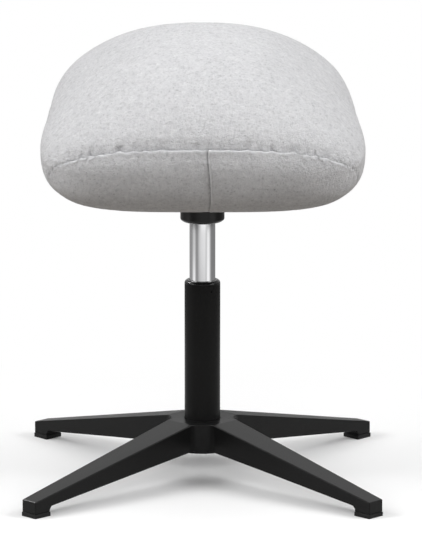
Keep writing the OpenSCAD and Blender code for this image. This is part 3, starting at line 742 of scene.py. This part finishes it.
def swell(piece, c):
    """Cloth with air inside, held where the felt is fixed to the board, and no point moved past c.swell."""
    start = coords(piece.data)
    held = piece.vertex_groups.new(name="held")
    for k in np.nonzero(start[:, 2] < c.start_inset + HELD)[0]:
        held.add([int(k)], 1.0, "REPLACE")
    bpy.ops.object.modifier_add(type="CLOTH")
    cloth = piece.modifiers[-1]
    cloth.settings.quality = 5
    cloth.settings.mass = 0.3
    cloth.settings.tension_stiffness = 15
    cloth.settings.compression_stiffness = 15
    cloth.settings.use_pressure = True
    cloth.settings.uniform_pressure_force = c.pressure
    cloth.settings.vertex_group_mass = "held"
    cloth.settings.effector_weights.gravity = 0.0
    cloth.collision_settings.use_collision = False
    for step in range(SWELL_STEPS):
        bpy.context.scene.frame_set(step + 1)
    view = piece.evaluated_get(bpy.context.evaluated_depsgraph_get())
    moved = coords(view.data) - start
    bpy.context.scene.frame_set(1)
    bpy.ops.object.modifier_remove(modifier=cloth.name)
    reach = np.linalg.norm(moved, axis=1)
    moved *= np.minimum(1.0, c.swell / np.maximum(reach, 1e-9))[:, None]
    put_coords(piece.data, start + moved)
    piece.vertex_groups.clear()
    finish_with(piece, "SMOOTH", factor=0.5, iterations=c.calming)


def settle_form(piece, c):
    """Draws the swollen skin most of the way to the cushion's measured form."""
    heading, climb = np.meshgrid(np.linspace(-math.pi, math.pi, 361)[:-1],
                                 np.linspace(-math.pi / 2, math.pi / 2, 181))
    form = cushion_points(c, heading.ravel(), climb.ravel(), 0.0)
    tree = KDTree(len(form))
    for k, point in enumerate(form):
        tree.insert(point, k)
    tree.balance()
    p, n = coords(piece.data), read(piece.data.vertex_normals, "vector", 3)
    target = np.array([tree.find(point)[0] for point in p])
    out = np.einsum("ij,ij->i", target - p, n)
    put_coords(piece.data, p + n * (out * c.settle)[:, None])


def end_seam_distance(c, p, end):
    """Distance from an end panel's outline, negative on the panel. end is -1 in front, 1 in the rear."""
    y = p[:, 1] * -end
    above = (y + c.depth / 2 + p[:, 2] - c.seam_height) / math.sqrt(2)
    behind = y + c.depth / 2 - c.end_wrap
    gap = above - behind
    return np.where(np.abs(gap) > 2 * CORNER, np.maximum(above, behind),
                    (above + behind) / 2 + (gap ** 2 / (4 * CORNER) + CORNER) / 2)


def select_faces(mesh, chosen):
    """Selects the faces that have a chosen point, and goes to edit mode."""
    loops = read(mesh.loops, "vertex_index", kind=np.int32)
    starts = read(mesh.polygons, "loop_start", kind=np.int32)
    enter("DESELECT")
    bpy.ops.mesh.select_mode(type="FACE")
    leave()
    mesh.polygons.foreach_set("select", np.logical_or.reduceat(chosen[loops], starts))
    bpy.ops.object.mode_set(mode="EDIT")


def cut_rows(piece, point, normal, offsets, near):
    """Cuts edge rows into the faces near a seam's plane."""
    normal = Vector(normal).normalized()
    for offset in offsets:
        p = coords(piece.data)
        off_plane = np.abs((p - np.array(point)) @ np.array(normal) - offset)
        select_faces(piece.data, (off_plane < ROW_REACH) & near(p))
        bpy.ops.mesh.bisect(plane_co=Vector(point) + normal * offset, plane_no=normal, threshold=ROW_MERGE)
        leave()


def cut_seams(piece, c):
    """Finer faces and edge rows along every seam, so that the felt can turn in sharply there."""
    pick(piece)
    p = coords(piece.data)
    close = np.zeros(len(p), dtype=bool)
    for end in (-1, 1):
        d = end_seam_distance(c, p, end)
        close |= (d > -FINE_UNDER) & (d < FINE_OVER)
        close |= (d < 0.0) & (np.abs(p[:, 0] - c.middle_seam) < FINE_SIDE)
    select_faces(piece.data, close)
    bpy.ops.mesh.subdivide(number_cuts=1)
    leave()
    front = c.depth / 2
    turn = -front + c.end_wrap
    below = c.seam_height - c.end_wrap
    for end, rows in ((-1, FRONT_ROWS), (1, REAR_ROWS)):
        cut_rows(piece, (0, end * front, c.seam_height), (0, -end, 1), rows,
                 lambda p: p[:, 1] * -end < turn + ROW_REACH)
        cut_rows(piece, (0, -end * turn, 0), (0, -end, 0), (0.0,), lambda p: p[:, 2] < below + ROW_REACH)
    cut_rows(piece, (c.middle_seam, 0, 0), (1, 0, 0), MIDDLE_ROWS,
             lambda p: np.minimum(*(end_seam_distance(c, p, end) for end in (-1, 1))) < 0.002)


def stitches(s, pitch, seed):
    """Distance to the nearest pucker, in pitches, and that pucker's strength."""
    t = s / pitch + seed + 0.25 * np.sin(2 * math.pi * s / (3.7 * pitch) + seed)
    k = np.round(t)
    return t - k, 0.70 + 0.30 * np.sin(2.4 * k + 1.3 * seed)


class Felt:
    """What the seams do to each point: how far it moves out, where it slides, and the painted shade and
    painted highlight it bears.
    """

    def __init__(self, mesh):
        self.points, self.normals = coords(mesh), read(mesh.vertex_normals, "vector", 3)
        self.push, self.crease, self.edge = (np.zeros(len(self.points)) for _ in range(3))
        self.slide = np.zeros_like(self.points)

    def gather(self, c, d, end, seed):
        """The seam along an end panel's outline: a sharp turn, puckers over it and a folded edge under it."""
        p = self.points
        wide, height = np.abs(p[:, 0]), p[:, 2]
        above, below = np.clip(d, 0, None), np.clip(-d, 0, None)
        # The puckers calm down round the corners and near the underside, the edge also on the far left
        side, low = rise(wide, *CORNERS), rise(height, *FROM_BELOW)
        calm = (1.0 - (0.85 if end < 0 else 1.0) * side) * (0.12 + 0.88 * low)
        proud = calm * (1.0 - 0.65 * rise(-p[:, 0], *FAR_LEFT))
        # Length along the seam: across the cushion, and on round its corner
        back = p[:, 1] * -end + c.depth / 2 - 0.7 * above
        along = p[:, 0] + np.sign(p[:, 0]) * 1.4 * np.clip(back - 0.014, 0, None)
        near, force = stitches(along, c.pucker_pitch, seed)
        force = force * (0.62 + 0.38 * rise(wide, *OUTER_PUCKERS))
        dimple = calm * force * bell(near, 0.24)
        # The turn at the seam, the hollow over it, the folded edge and the fullness under it
        over = TURN_SLOW * np.exp(-above / c.seam_width) + (1 - TURN_SLOW) * np.exp(-above / TURN_STEEP)
        turn = np.where(d >= 0, over, np.exp(-below / TURN_UNDER))
        self.push -= calm * c.seam_depth * turn
        self.push -= HOLLOW_DEPTH * (1 - side) * bell(above, *HOLLOW) * (d > 0)
        self.push += proud * c.ridge * bell(below, *FOLDED_EDGE) * (1 - 0.4 * force * bell(near, 0.2))
        self.push += FULL_HEIGHT * (1 - side) * bell(below, *FULLNESS) * (d < 0)
        # The puckers, and the plain stitches at the sides
        self.push -= c.pucker_depth * dimple * bell(above, *PUCKER_OVER) * (d > -0.0004)
        self.push -= 0.35 * c.pucker_depth * dimple * bell(below, *PUCKER_UNDER) * (d < 0)
        dot, weight = stitches(along, 0.45 * c.pucker_pitch, seed + 0.7)
        dots = side * weight * bell(dot, 0.30) * bell(d, 0.0030) * (height > 0.02)
        self.push -= STITCH_DEPTH * dots
        # The puckers pull the seam up, and the whole seam falls towards its ends
        uphill = np.array([0.0, -end, 1.0]) / math.sqrt(2)
        uphill = uphill - self.normals * (self.normals @ uphill)[:, None]
        scallop = (force * bell(near, 0.22) - 0.35) * c.scallop * calm * bell(d, 0.006)
        fall = c.seam_arch / math.sqrt(2) * rise(wide, 0, 0.2) ** 3 * bell(d, 0.028) * low
        self.slide += uphill * (scallop - fall)[:, None]
        # Painted shade: darker along the seam line, in the plain stitches and in the puckers over the seam
        self.crease += (calm * bell(d, *PAINTED_SEAM_SHADE) * 0.35 + dots
                        + 0.4 * dimple * bell(above, *PAINTED_PUCKER_SHADE) * (d > 0))
        # Painted highlight: a pale line along the folded edge under the seam
        self.edge += proud * bell(below, *PAINTED_EDGE_HIGHLIGHT) * (d < 0)

    def join(self, c, d):
        """The seam down the middle of an end panel, with the right half folded over the left one."""
        inside = rise(-d, 0.0003, 0.002)
        across = self.points[:, 0] - c.middle_seam
        fold = np.where(across < 0, np.exp(across / 0.0013), np.exp(-across / 0.0006))
        self.push -= inside * 0.9 * c.seam_depth * fold
        self.push += inside * JOIN_HEIGHT * bell(across, *JOIN_EDGE)
        self.push -= inside * JOIN_DEPTH * bell(across, *JOIN_HOLLOW)
        sway = 0.0036 * np.sin(math.pi * rise(self.points[:, 2], 0, 0.1)) - 0.0014
        self.slide[:, 0] += inside * sway * bell(across, 0.012)
        # Painted shade along the middle seam, and a painted highlight on the folded edge to its right
        self.crease += inside * 0.7 * bell(across, *PAINTED_JOIN_SHADE)
        self.edge += inside * 0.7 * bell(across, *PAINTED_JOIN_HIGHLIGHT)


def draw_seams(piece, c):
    """Draws the felt in along the seams, with puckers where it is gathered, and marks painted shade in the
    creases and a painted highlight on the folded edges.
    """
    felt = Felt(piece.data)
    for end, seed in ((-1, 0.4), (1, 1.9)):
        d = end_seam_distance(c, felt.points, end)
        felt.gather(c, d, end, seed)
        felt.join(c, d)
    fade = rise(felt.points[:, 2], *SEAM_FADE)
    # The painted shade and the painted highlight are kept on the mesh for the felt's colour
    for name, strength in (("crease", felt.crease), ("edge", felt.edge)):
        mark = piece.data.attributes.new(name, "FLOAT", "POINT")
        mark.data.foreach_set("value", np.clip(strength * fade, 0, 1).astype(np.float32))
    out = felt.normals * (felt.push * fade)[:, None]
    put_coords(piece.data, felt.points + felt.slide * fade[:, None] + out)


# Operators

class OTTOMAN_OT_stage(bpy.types.Operator):
    """Adds the floor, the lamps, the cards, the room light and the camera"""
    bl_idname = "ottoman.stage"
    bl_label = "Studio"

    # Shade of the cards by heading in degrees, from the front to the right: lower, middle and upper part
    shades = (
        (-180, 0.33, 0.33, 0.02), (-130, 0.30, 0.30, 0.02), (-114, 0.29, 0.29, 0.02),
        (-97, 0.50, 0.40, 0.02), (-86, 0.95, 0.62, 0.02), (-72, 0.98, 0.64, 0.02),
        (-61, 0.42, 0.38, 0.05), (-53, 0.28, 0.28, 0.10), (-43, 0.31, 0.31, 0.16),
        (-25, 0.52, 0.64, 0.50), (-8, 0.62, 0.75, 0.95), (19, 0.69, 0.82, 1.00),
        (29, 0.62, 0.70, 0.90), (37, 0.58, 0.58, 0.65), (43, 1.00, 0.90, 0.50),
        (60, 1.00, 0.94, 0.28), (67, 0.78, 0.72, 0.18), (78, 0.34, 0.34, 0.10),
        (90, 0.22, 0.22, 0.03), (114, 0.22, 0.22, 0.02), (130, 0.21, 0.21, 0.02),
        (180, 0.21, 0.21, 0.02))
    # Heights over which the lower part passes to the middle one, and the middle one to the upper one
    lower_edge, upper_edge = (0.08, 0.165), (0.190, 0.197)
    # Distances from the column over which the floor fades to pure white
    fade = (0.28, 0.75)
    # Name, place, target and size of the two strips, high on the left behind, and overhead
    strip_places = (
        ("studio_strip_left", (-1.75, 1.0, 1.85), (0.15, -0.15, 0.06), (0.9, 0.6)),
        ("studio_strip_top", (0.0, -0.45, 2.2), (0.0, -0.04, 0.08), (0.8, 0.35)))
    # Place and size of each lamp, and the property that holds its power
    lamp_places = (
        ("ceiling_lamp", (0.0, 0.1, 3.2), (3.2, 3.0), "ceiling"),
        ("front_lamp", (0.0, -2.8, 2.9), (3.4, 1.6), "key"),
        ("left_lamp", (-2.6, -0.8, 2.15), (1.8, 1.8), "left"),
        ("right_lamp", (2.6, -0.8, 2.15), (1.8, 1.8), "right"))
    lamp_target = (0.0, 0.0, 0.5)
    sensor = 36.0

    def execute(self, context):
        s = context.scene.ottoman_stage
        self.floor(s)
        self.room(context.scene, s)
        self.lamps(s)
        self.cards(s)
        self.strips(s)
        self.camera(context.scene, s)
        return {"FINISHED"}

    def floor(self, s):
        """Painted near the object, pure white further off, and pale carpet for the light it throws back."""
        fresh()
        bpy.ops.mesh.primitive_plane_add(size=30.0)
        floor = named("studio_floor")
        f = Finish("studio_floor")
        warm = (1.06 * s.floor_bounce, s.floor_bounce, 0.93 * s.floor_bounce)
        carpet, paint = (f.add("ShaderNodeBsdfDiffuse", None, {"Color": tint}).out()
                         for tint in (warm, (0.86, 0.86, 0.86)))
        near = f.add("ShaderNodeAddShader", None, {0: paint, 1: f.glow(WHITE, s.floor_glow)}).out()
        away = f.add("ShaderNodeVectorMath", {"operation": "LENGTH"}, {0: f.place}).out("Value")
        both = f.mix(away.ramp(*self.fade), near, f.glow(WHITE, 1.0))
        dress(floor, f.ends_in(f.mix(f.seen_directly(), carpet, both)))

    def reflected(self, piece, material):
        """Dresses a stage piece that only reflections see."""
        dress(piece, material)
        piece.visible_camera = piece.visible_diffuse = piece.visible_shadow = False
        piece.visible_transmission = piece.visible_volume_scatter = False

    def cards(self, s):
        """A low ring of light and dark cards round the column."""
        fresh()
        bpy.ops.mesh.primitive_cylinder_add(vertices=180, radius=s.card_radius, depth=s.card_height,
                                            location=(0, 0, s.card_height / 2), end_fill_type="NOTHING")
        cards = settle(named("studio_cards"))
        f = Finish("card_shades")
        parts = f.add("ShaderNodeSeparateXYZ", None, {0: f.place})
        heading = parts.out("X").math("ARCTAN2", parts.out("Y") * -1.0) / (2 * math.pi) + 0.5
        stops = ([((row[0] + 180.0) / 360.0, (row[k],) * 3) for row in self.shades] for k in (1, 2, 3))
        low, middle, high = (f.add("ShaderNodeValToRGB", {"stops": part}, {0: heading}).out()
                             for part in stops)
        shades = f.blend(parts.out("Z").ramp(*self.lower_edge), low, middle)
        shades = f.blend(parts.out("Z").ramp(*self.upper_edge), shades, high)
        self.reflected(cards, f.ends_in(f.glow(shades, s.card_light)))

    def strips(self, s):
        """Two small bright panels that only edges and gloss pick up."""
        f = Finish("strip_light")
        material = f.ends_in(f.glow(WHITE, s.strip_light))
        for name, place, target, size in self.strip_places:
            fresh()
            turn = (Vector(target) - Vector(place)).to_track_quat("Z", "Y").to_euler()
            bpy.ops.mesh.primitive_plane_add(size=1.0, location=place, rotation=turn)
            strip = named(name)
            strip.scale = (*size, 1.0)
            self.reflected(settle(strip), material)

    def room(self, scene, s):
        """White for the camera and for reflections, and an even dim light for all else."""
        f = Finish("studio_room", "World")
        even, white = (f.add("ShaderNodeBackground", None, {"Color": WHITE, "Strength": strength}).out()
                       for strength in (s.fill, 1.0))
        scene.world = f.ends_in(f.mix(f.seen_directly(), even, white))

    def lamps(self, s):
        for name, place, size, power in self.lamp_places:
            fresh()
            bpy.ops.object.light_add(type="AREA", location=place)
            lamp = bpy.context.object
            lamp.name = name
            aim = Vector(self.lamp_target) - Vector(place)
            lamp.rotation_euler = aim.to_track_quat("-Z", "Y").to_euler()
            lamp.data.shape = "RECTANGLE"
            lamp.data.size, lamp.data.size_y = size
            lamp.data.energy = getattr(s, power)

    def camera(self, scene, s):
        data = bpy.data.cameras.new("camera")
        camera = bpy.data.objects.new("camera", data)
        scene.collection.objects.link(camera)
        place = Vector((0, -s.camera_distance, s.camera_height))
        camera.location = place
        camera.rotation_euler = (Vector((0, 0, s.aim_height)) - place).to_track_quat("-Z", "Y").to_euler()
        longest = max(PICTURE)
        data.sensor_width = self.sensor
        data.lens = s.focal_pixels * self.sensor / longest
        data.shift_x = (PICTURE[0] / 2 - s.axis_pixel) / longest
        data.clip_end = 100.0
        scene.camera = camera
        scene.view_settings.view_transform = "Standard"


class OTTOMAN_OT_base(bpy.types.Operator):
    """Models the coated casting with rounded edges and the four glide pads"""
    bl_idname = "ottoman.base"
    bl_label = "Star base"

    def execute(self, context):
        m, tints = context.scene.ottoman_metal, context.scene.ottoman_colours
        casting = rounded(copy_of_node("star_base", "star_casting", m.casting_merge), m.casting_bevel,
                          clamp=False)
        stands_for(casting, "star_base", coated_metal("coated_casting", tints.casting, 0.30))
        plastic = moulded_plastic("glide_plastic", tints.plastic, 0.5)
        for corner in ("front_left", "front_right", "rear_left", "rear_right"):
            rounded_copy("glide_" + corner, "pad_" + corner, "glide_black", plastic, m.glide_bevel,
                         angle=30.0)
        return {"FINISHED"}


class OTTOMAN_OT_column(bpy.types.Operator):
    """Models the column tube, its collar, the polished cylinder and the cap under the seat"""
    bl_idname = "ottoman.column"
    bl_label = "Gas column"

    # Play between bush and tube, and the shoulder's point that the groove pinches
    bush_play, groove_at = 0.00002, 9
    # Rows round the cap's edge, and how much further in than its rounding the edge is looked for
    cap_rows, cap_slack = 12, 0.0002

    def execute(self, context):
        m, tints = context.scene.ottoman_metal, context.scene.ottoman_colours
        tube = evened(copy_of_node("outer_tube", "column_tube"))
        stands_for(tube, "outer_tube", coated_metal("coated_tube", tints.tube, 0.30, 0.4, 0.04))
        stands_for(self.collar(m), "guide_bush",
                   moulded_plastic("collar_plastic", tints.plastic, 0.20, 0.12))
        stands_for(self.cylinder(m), "gas_cylinder",
                   polished_chrome("polished_chrome", tints.chrome))
        stands_for(self.cap(m), "hub_cap",
                   moulded_plastic("cap_plastic", tints.plastic, 0.22, 0.28))
        return {"FINISHED"}

    def collar(self, m):
        """The bush with its collar: a convex shoulder with a fine groove, over a narrow joint on the rim."""
        low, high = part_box("guide_bush")
        crown = high[2] - m.collar_drop
        bore, edge = m.cylinder_radius + m.bore_gap, m.fine_edge
        rim, inner = m.tube_radius, m.tube_radius - m.tube_wall - self.bush_play
        shoulder = arc(rim - m.collar_round, crown - m.collar_round, m.collar_round, 0.0, 88.0, 14)
        r, z = shoulder[self.groove_at]
        pinch = m.groove_depth * 0.7
        shoulder[self.groove_at] = (r - pinch, z - pinch)
        profile = [(bore, low[2]), (inner - edge, low[2]), (inner, low[2] + edge), (inner, m.tube_top),
                   (rim - edge, m.tube_top), (rim, m.tube_top + edge), *shoulder, (bore + 2 * edge, crown),
                   (bore + 0.6 * edge, crown - 0.4 * edge), (bore, crown - 2 * edge)]
        return smooth(lathe("bush_and_collar", profile), 50.0)

    def cylinder(self, m):
        """The polished cylinder with its bore, its tapered neck and a rounded lower edge."""
        low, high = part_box("gas_cylinder")
        r, wall, edge = m.cylinder_radius, m.cylinder_wall, m.fine_edge
        neck, plug, seat = r - m.socket_taper, high[2] - m.valve_length, high[2] - m.socket_depth
        profile = [(r - wall, low[2]), (r - edge, low[2]), (r, low[2] + edge), (r, seat),
                   (neck, high[2] - edge), (neck - edge, high[2]), (neck - wall, high[2]),
                   (neck - wall, plug), (r - wall, plug)]
        return smooth(lathe("polished_cylinder", profile), 30.0)

    def cap(self, m):
        """The cap with a soft, deeper round along its lower edge."""
        piece = copy_of_node("hub_cap", "seat_cap")
        low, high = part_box("hub_cap")
        for k in range(1, self.cap_rows):
            enter()
            level = low[2] + m.cap_edge * (1 - math.sin(math.radians(90.0 / self.cap_rows * k)))
            bpy.ops.mesh.bisect(plane_co=(0, 0, level), plane_no=(0, 0, 1), threshold=CUT_MERGE)
        leave()
        p = coords(piece.data)
        r = np.hypot(p[:, 0], p[:, 1])
        drop = np.clip((low[2] + m.cap_edge - p[:, 2]) / m.cap_edge, 0, 1)
        outer = (r > high[0] - m.cap_edge - self.cap_slack) & (drop > 0)
        deep = m.cap_edge + m.cap_sag
        round_r = high[0] - m.cap_round + m.cap_round * np.sqrt(1 - drop ** 2)
        round_z = low[2] - m.cap_sag + deep * (1 - drop)
        p[:, :2] *= np.where(outer, round_r / np.maximum(r, 1e-6), 1.0)[:, None]
        p[:, 2] = np.where(outer, round_z, np.where(drop > 0.999, low[2] - m.cap_sag, p[:, 2]))
        put_coords(piece.data, p)
        return smooth(piece, 40.0)


class OTTOMAN_OT_mount(bpy.types.Operator):
    """Models the plate under the seat board, its bolts and tee nuts, and the taper socket"""
    bl_idname = "ottoman.mount"
    bl_label = "Seat mount"

    def execute(self, context):
        m, tints = context.scene.ottoman_metal, context.scene.ottoman_colours
        rounded_copy("mounting_plate", "seat_plate", "plate_black",
                     coated_metal("coated_plate", tints.casting, 0.45), m.fine_edge)
        steel = turned_steel("plated_steel", tints.steel)
        rounded_copy("plate_bolts", "socket_bolts", "bearing_steel", steel, m.fine_edge)
        socket = evened(copy_of_node("taper_socket", "cylinder_socket"))
        stands_for(socket, "taper_socket", turned_steel("socket_steel", tints.steel, 0.36))
        dress_node("tee_nuts", steel)
        dress_node("seat_board", plywood("birch_plywood", tints.birch))
        return {"FINISHED"}


class OTTOMAN_OT_lever(bpy.types.Operator):
    """Models the release lever: a rounded steel bar, a soft plastic grip and the pin"""
    bl_idname = "ottoman.lever"
    bl_label = "Release lever"

    def execute(self, context):
        m, tints = context.scene.ottoman_metal, context.scene.ottoman_colours
        rounded_copy("lever_arm", "lever_bar", "lever_steel", turned_steel("lever_steel", tints.steel, 0.34),
                     m.lever_bevel, 3, shading=50.0)
        grip = moulded_plastic("grip_plastic", tints.plastic, 0.52)
        rounded_copy("lever_grip", "lever_handle", "grip_black", grip, m.grip_bevel, 5, 60.0, shading=50.0)
        dress_node("lever_pin", turned_steel("pin_steel", tints.steel))
        return {"FINISHED"}


class OTTOMAN_OT_inner(bpy.types.Operator):
    """Gives the bearing and the inside of the gas spring their finishes"""
    bl_idname = "ottoman.inner"
    bl_label = "Inner pieces"

    def execute(self, context):
        tints = context.scene.ottoman_colours
        finishes = (
            (turned_steel("ground_steel", tints.steel, 0.22),
             ("thrust_washer_lower", "thrust_washer_upper", "thrust_balls", "piston_rod", "clip_washer",
              "retaining_clip", "valve_plug", "release_pin")),
            (turned_steel("machined_brass", tints.brass, 0.30), ("ball_cage", "piston", "rod_guide")),
            (rubber("black_rubber", tints.rubber), ("rubber_buffer", "piston_seal", "rod_seal")),
            (open_foam("seat_foam", tints.foam), ("foam_core",)))
        for material, nodes in finishes:
            for node in nodes:
                dress_node(node, material)
        return {"FINISHED"}


class OTTOMAN_OT_underside(bpy.types.Operator):
    """Models the dust cover under the cushion, with its folded hem"""
    bl_idname = "ottoman.underside"
    bl_label = "Dust cover"

    # Radius of the cloth's outer edge, and the hem's puckers: how many, how deep and where they begin
    round_edge = 0.0005
    puckers = ((37, 0.25, 0.0), (83, 0.15, 1.0))

    def execute(self, context):
        c, tints = context.scene.ottoman_cushion, context.scene.ottoman_colours
        low, high = self.level_box("dust_cover", c)
        piece, heading, climb = ball("dust_cloth", 256, 64)
        inward = np.abs(climb) / (math.pi / 2)
        reach = plan_points(c, np.linspace(-math.pi, math.pi, 721), 1.0, 1.0)[0].max()
        half_width, half_depth = high[0] / reach, (high[1] - low[1]) / 2
        spread = 1 - inward ** 2
        x, y = plan_points(c, heading, half_width * spread, half_depth * spread)
        from_edge = inward ** 2 * half_depth
        folds = sum((deep * np.sin(count * heading + turn) for count, deep, turn in self.puckers), start=1.0)
        hem = c.hem_height * folds * bell(from_edge - c.hem_width / 2, c.hem_width * 0.4)
        round_off = np.sqrt(1 - (1 - rise(from_edge, 0, self.round_edge)) ** 2)
        middle, half = (low[2] + high[2]) / 2, (high[2] - low[2]) / 2
        z = middle + np.where(climb > 0, half, -half - hem) * round_off
        put_coords(piece.data, np.stack([x, y + (low[1] + high[1]) / 2, z], 1))
        self.cut_opening(piece, c)
        smooth(piece, 60.0)
        stands_for(piece, "dust_cover", dust_cloth("dust_cloth", tints.cloth))
        return {"FINISHED"}

    def level_box(self, node, c):
        """The box of a node that is turned level from the seat's slope."""
        flat = coords(frame["nodes"][node].data) @ np.array(Matrix.Rotation(c.tilt, 3, "X"))
        return flat.min(0), flat.max(0)

    def cut_opening(self, piece, c):
        """Cuts the cloth away round the plate, and turns it to the seat's slope."""
        low, high = self.level_box("mounting_plate", c)
        low, high = low - c.opening_gap, high + c.opening_gap
        fresh()
        bpy.ops.mesh.primitive_cube_add(size=1.0)
        block = named("cloth_opening")
        size = high - low + (0, 0, 8 * c.opening_round)
        put_coords(block.data, coords(block.data) * size + (low + high) / 2)
        bevelled(block, c.opening_round, 6)
        finish_with(piece, "BOOLEAN", operation="DIFFERENCE", object=block)
        bpy.data.objects.remove(block)
        put_coords(piece.data, coords(piece.data) @ np.array(Matrix.Rotation(-c.tilt, 3, "X")))


class OTTOMAN_OT_cushion(bpy.types.Operator):
    """Models the felt cushion: swollen by cloth simulation, then drawn in along its seams"""
    bl_idname = "ottoman.cushion"
    bl_label = "Cushion"

    def execute(self, context):
        c, tints = context.scene.ottoman_cushion, context.scene.ottoman_colours
        piece = cushion_blank(c)
        swell(piece, c)
        finish_with(piece, "SUBSURF", levels=1, render_levels=1)
        settle_form(piece, c)
        cut_seams(piece, c)
        draw_seams(piece, c)
        piece.data.transform(seat_place(c))
        smooth(piece, 180.0)
        dress(piece, melange_felt("melange_felt", tints))
        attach(piece, "seat")
        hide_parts("top_cover", "front_cover_left", "front_cover_right",
                    "rear_cover_left", "rear_cover_right", "foam_core")
        return {"FINISHED"}


class OTTOMAN_PT_panel(bpy.types.Panel):
    """Lists the ottoman's pieces in the sidebar"""
    bl_idname = "OTTOMAN_PT_panel"
    bl_label = "Ottoman"
    bl_space_type = "VIEW_3D"
    bl_region_type = "UI"
    bl_category = "Ottoman"

    def draw(self, context):
        for operator in OPERATORS:
            self.layout.operator(operator.bl_idname)
        for name in GROUPS:
            group = getattr(context.scene, name)
            box = self.layout.box()
            for key in group.__annotations__:
                box.prop(group, key)


OPERATORS = (OTTOMAN_OT_stage, OTTOMAN_OT_base, OTTOMAN_OT_column, OTTOMAN_OT_mount, OTTOMAN_OT_lever,
             OTTOMAN_OT_inner, OTTOMAN_OT_underside, OTTOMAN_OT_cushion)
GROUPS = {
    "ottoman_cushion": OttomanCushionSizes,
    "ottoman_metal": OttomanMetalSizes,
    "ottoman_colours": OttomanColours,
    "ottoman_stage": OttomanStageSizes,
}


def register():
    for group in GROUPS.values():
        bpy.utils.register_class(group)
    for name, group in GROUPS.items():
        setattr(bpy.types.Scene, name, PointerProperty(type=group))
    for operator in OPERATORS:
        bpy.utils.register_class(operator)
    bpy.utils.register_class(OTTOMAN_PT_panel)


def unregister():
    bpy.utils.unregister_class(OTTOMAN_PT_panel)
    for operator in reversed(OPERATORS):
        bpy.utils.unregister_class(operator)
    for name, group in GROUPS.items():
        delattr(bpy.types.Scene, name)
        bpy.utils.unregister_class(group)


def main():
    register()
    make = bpy.ops.ottoman
    for operator in (make.stage, make.base, make.column, make.mount, make.lever, make.inner, make.underside,
                     make.cushion):
        operator()


if __name__ == "__main__":
    main()
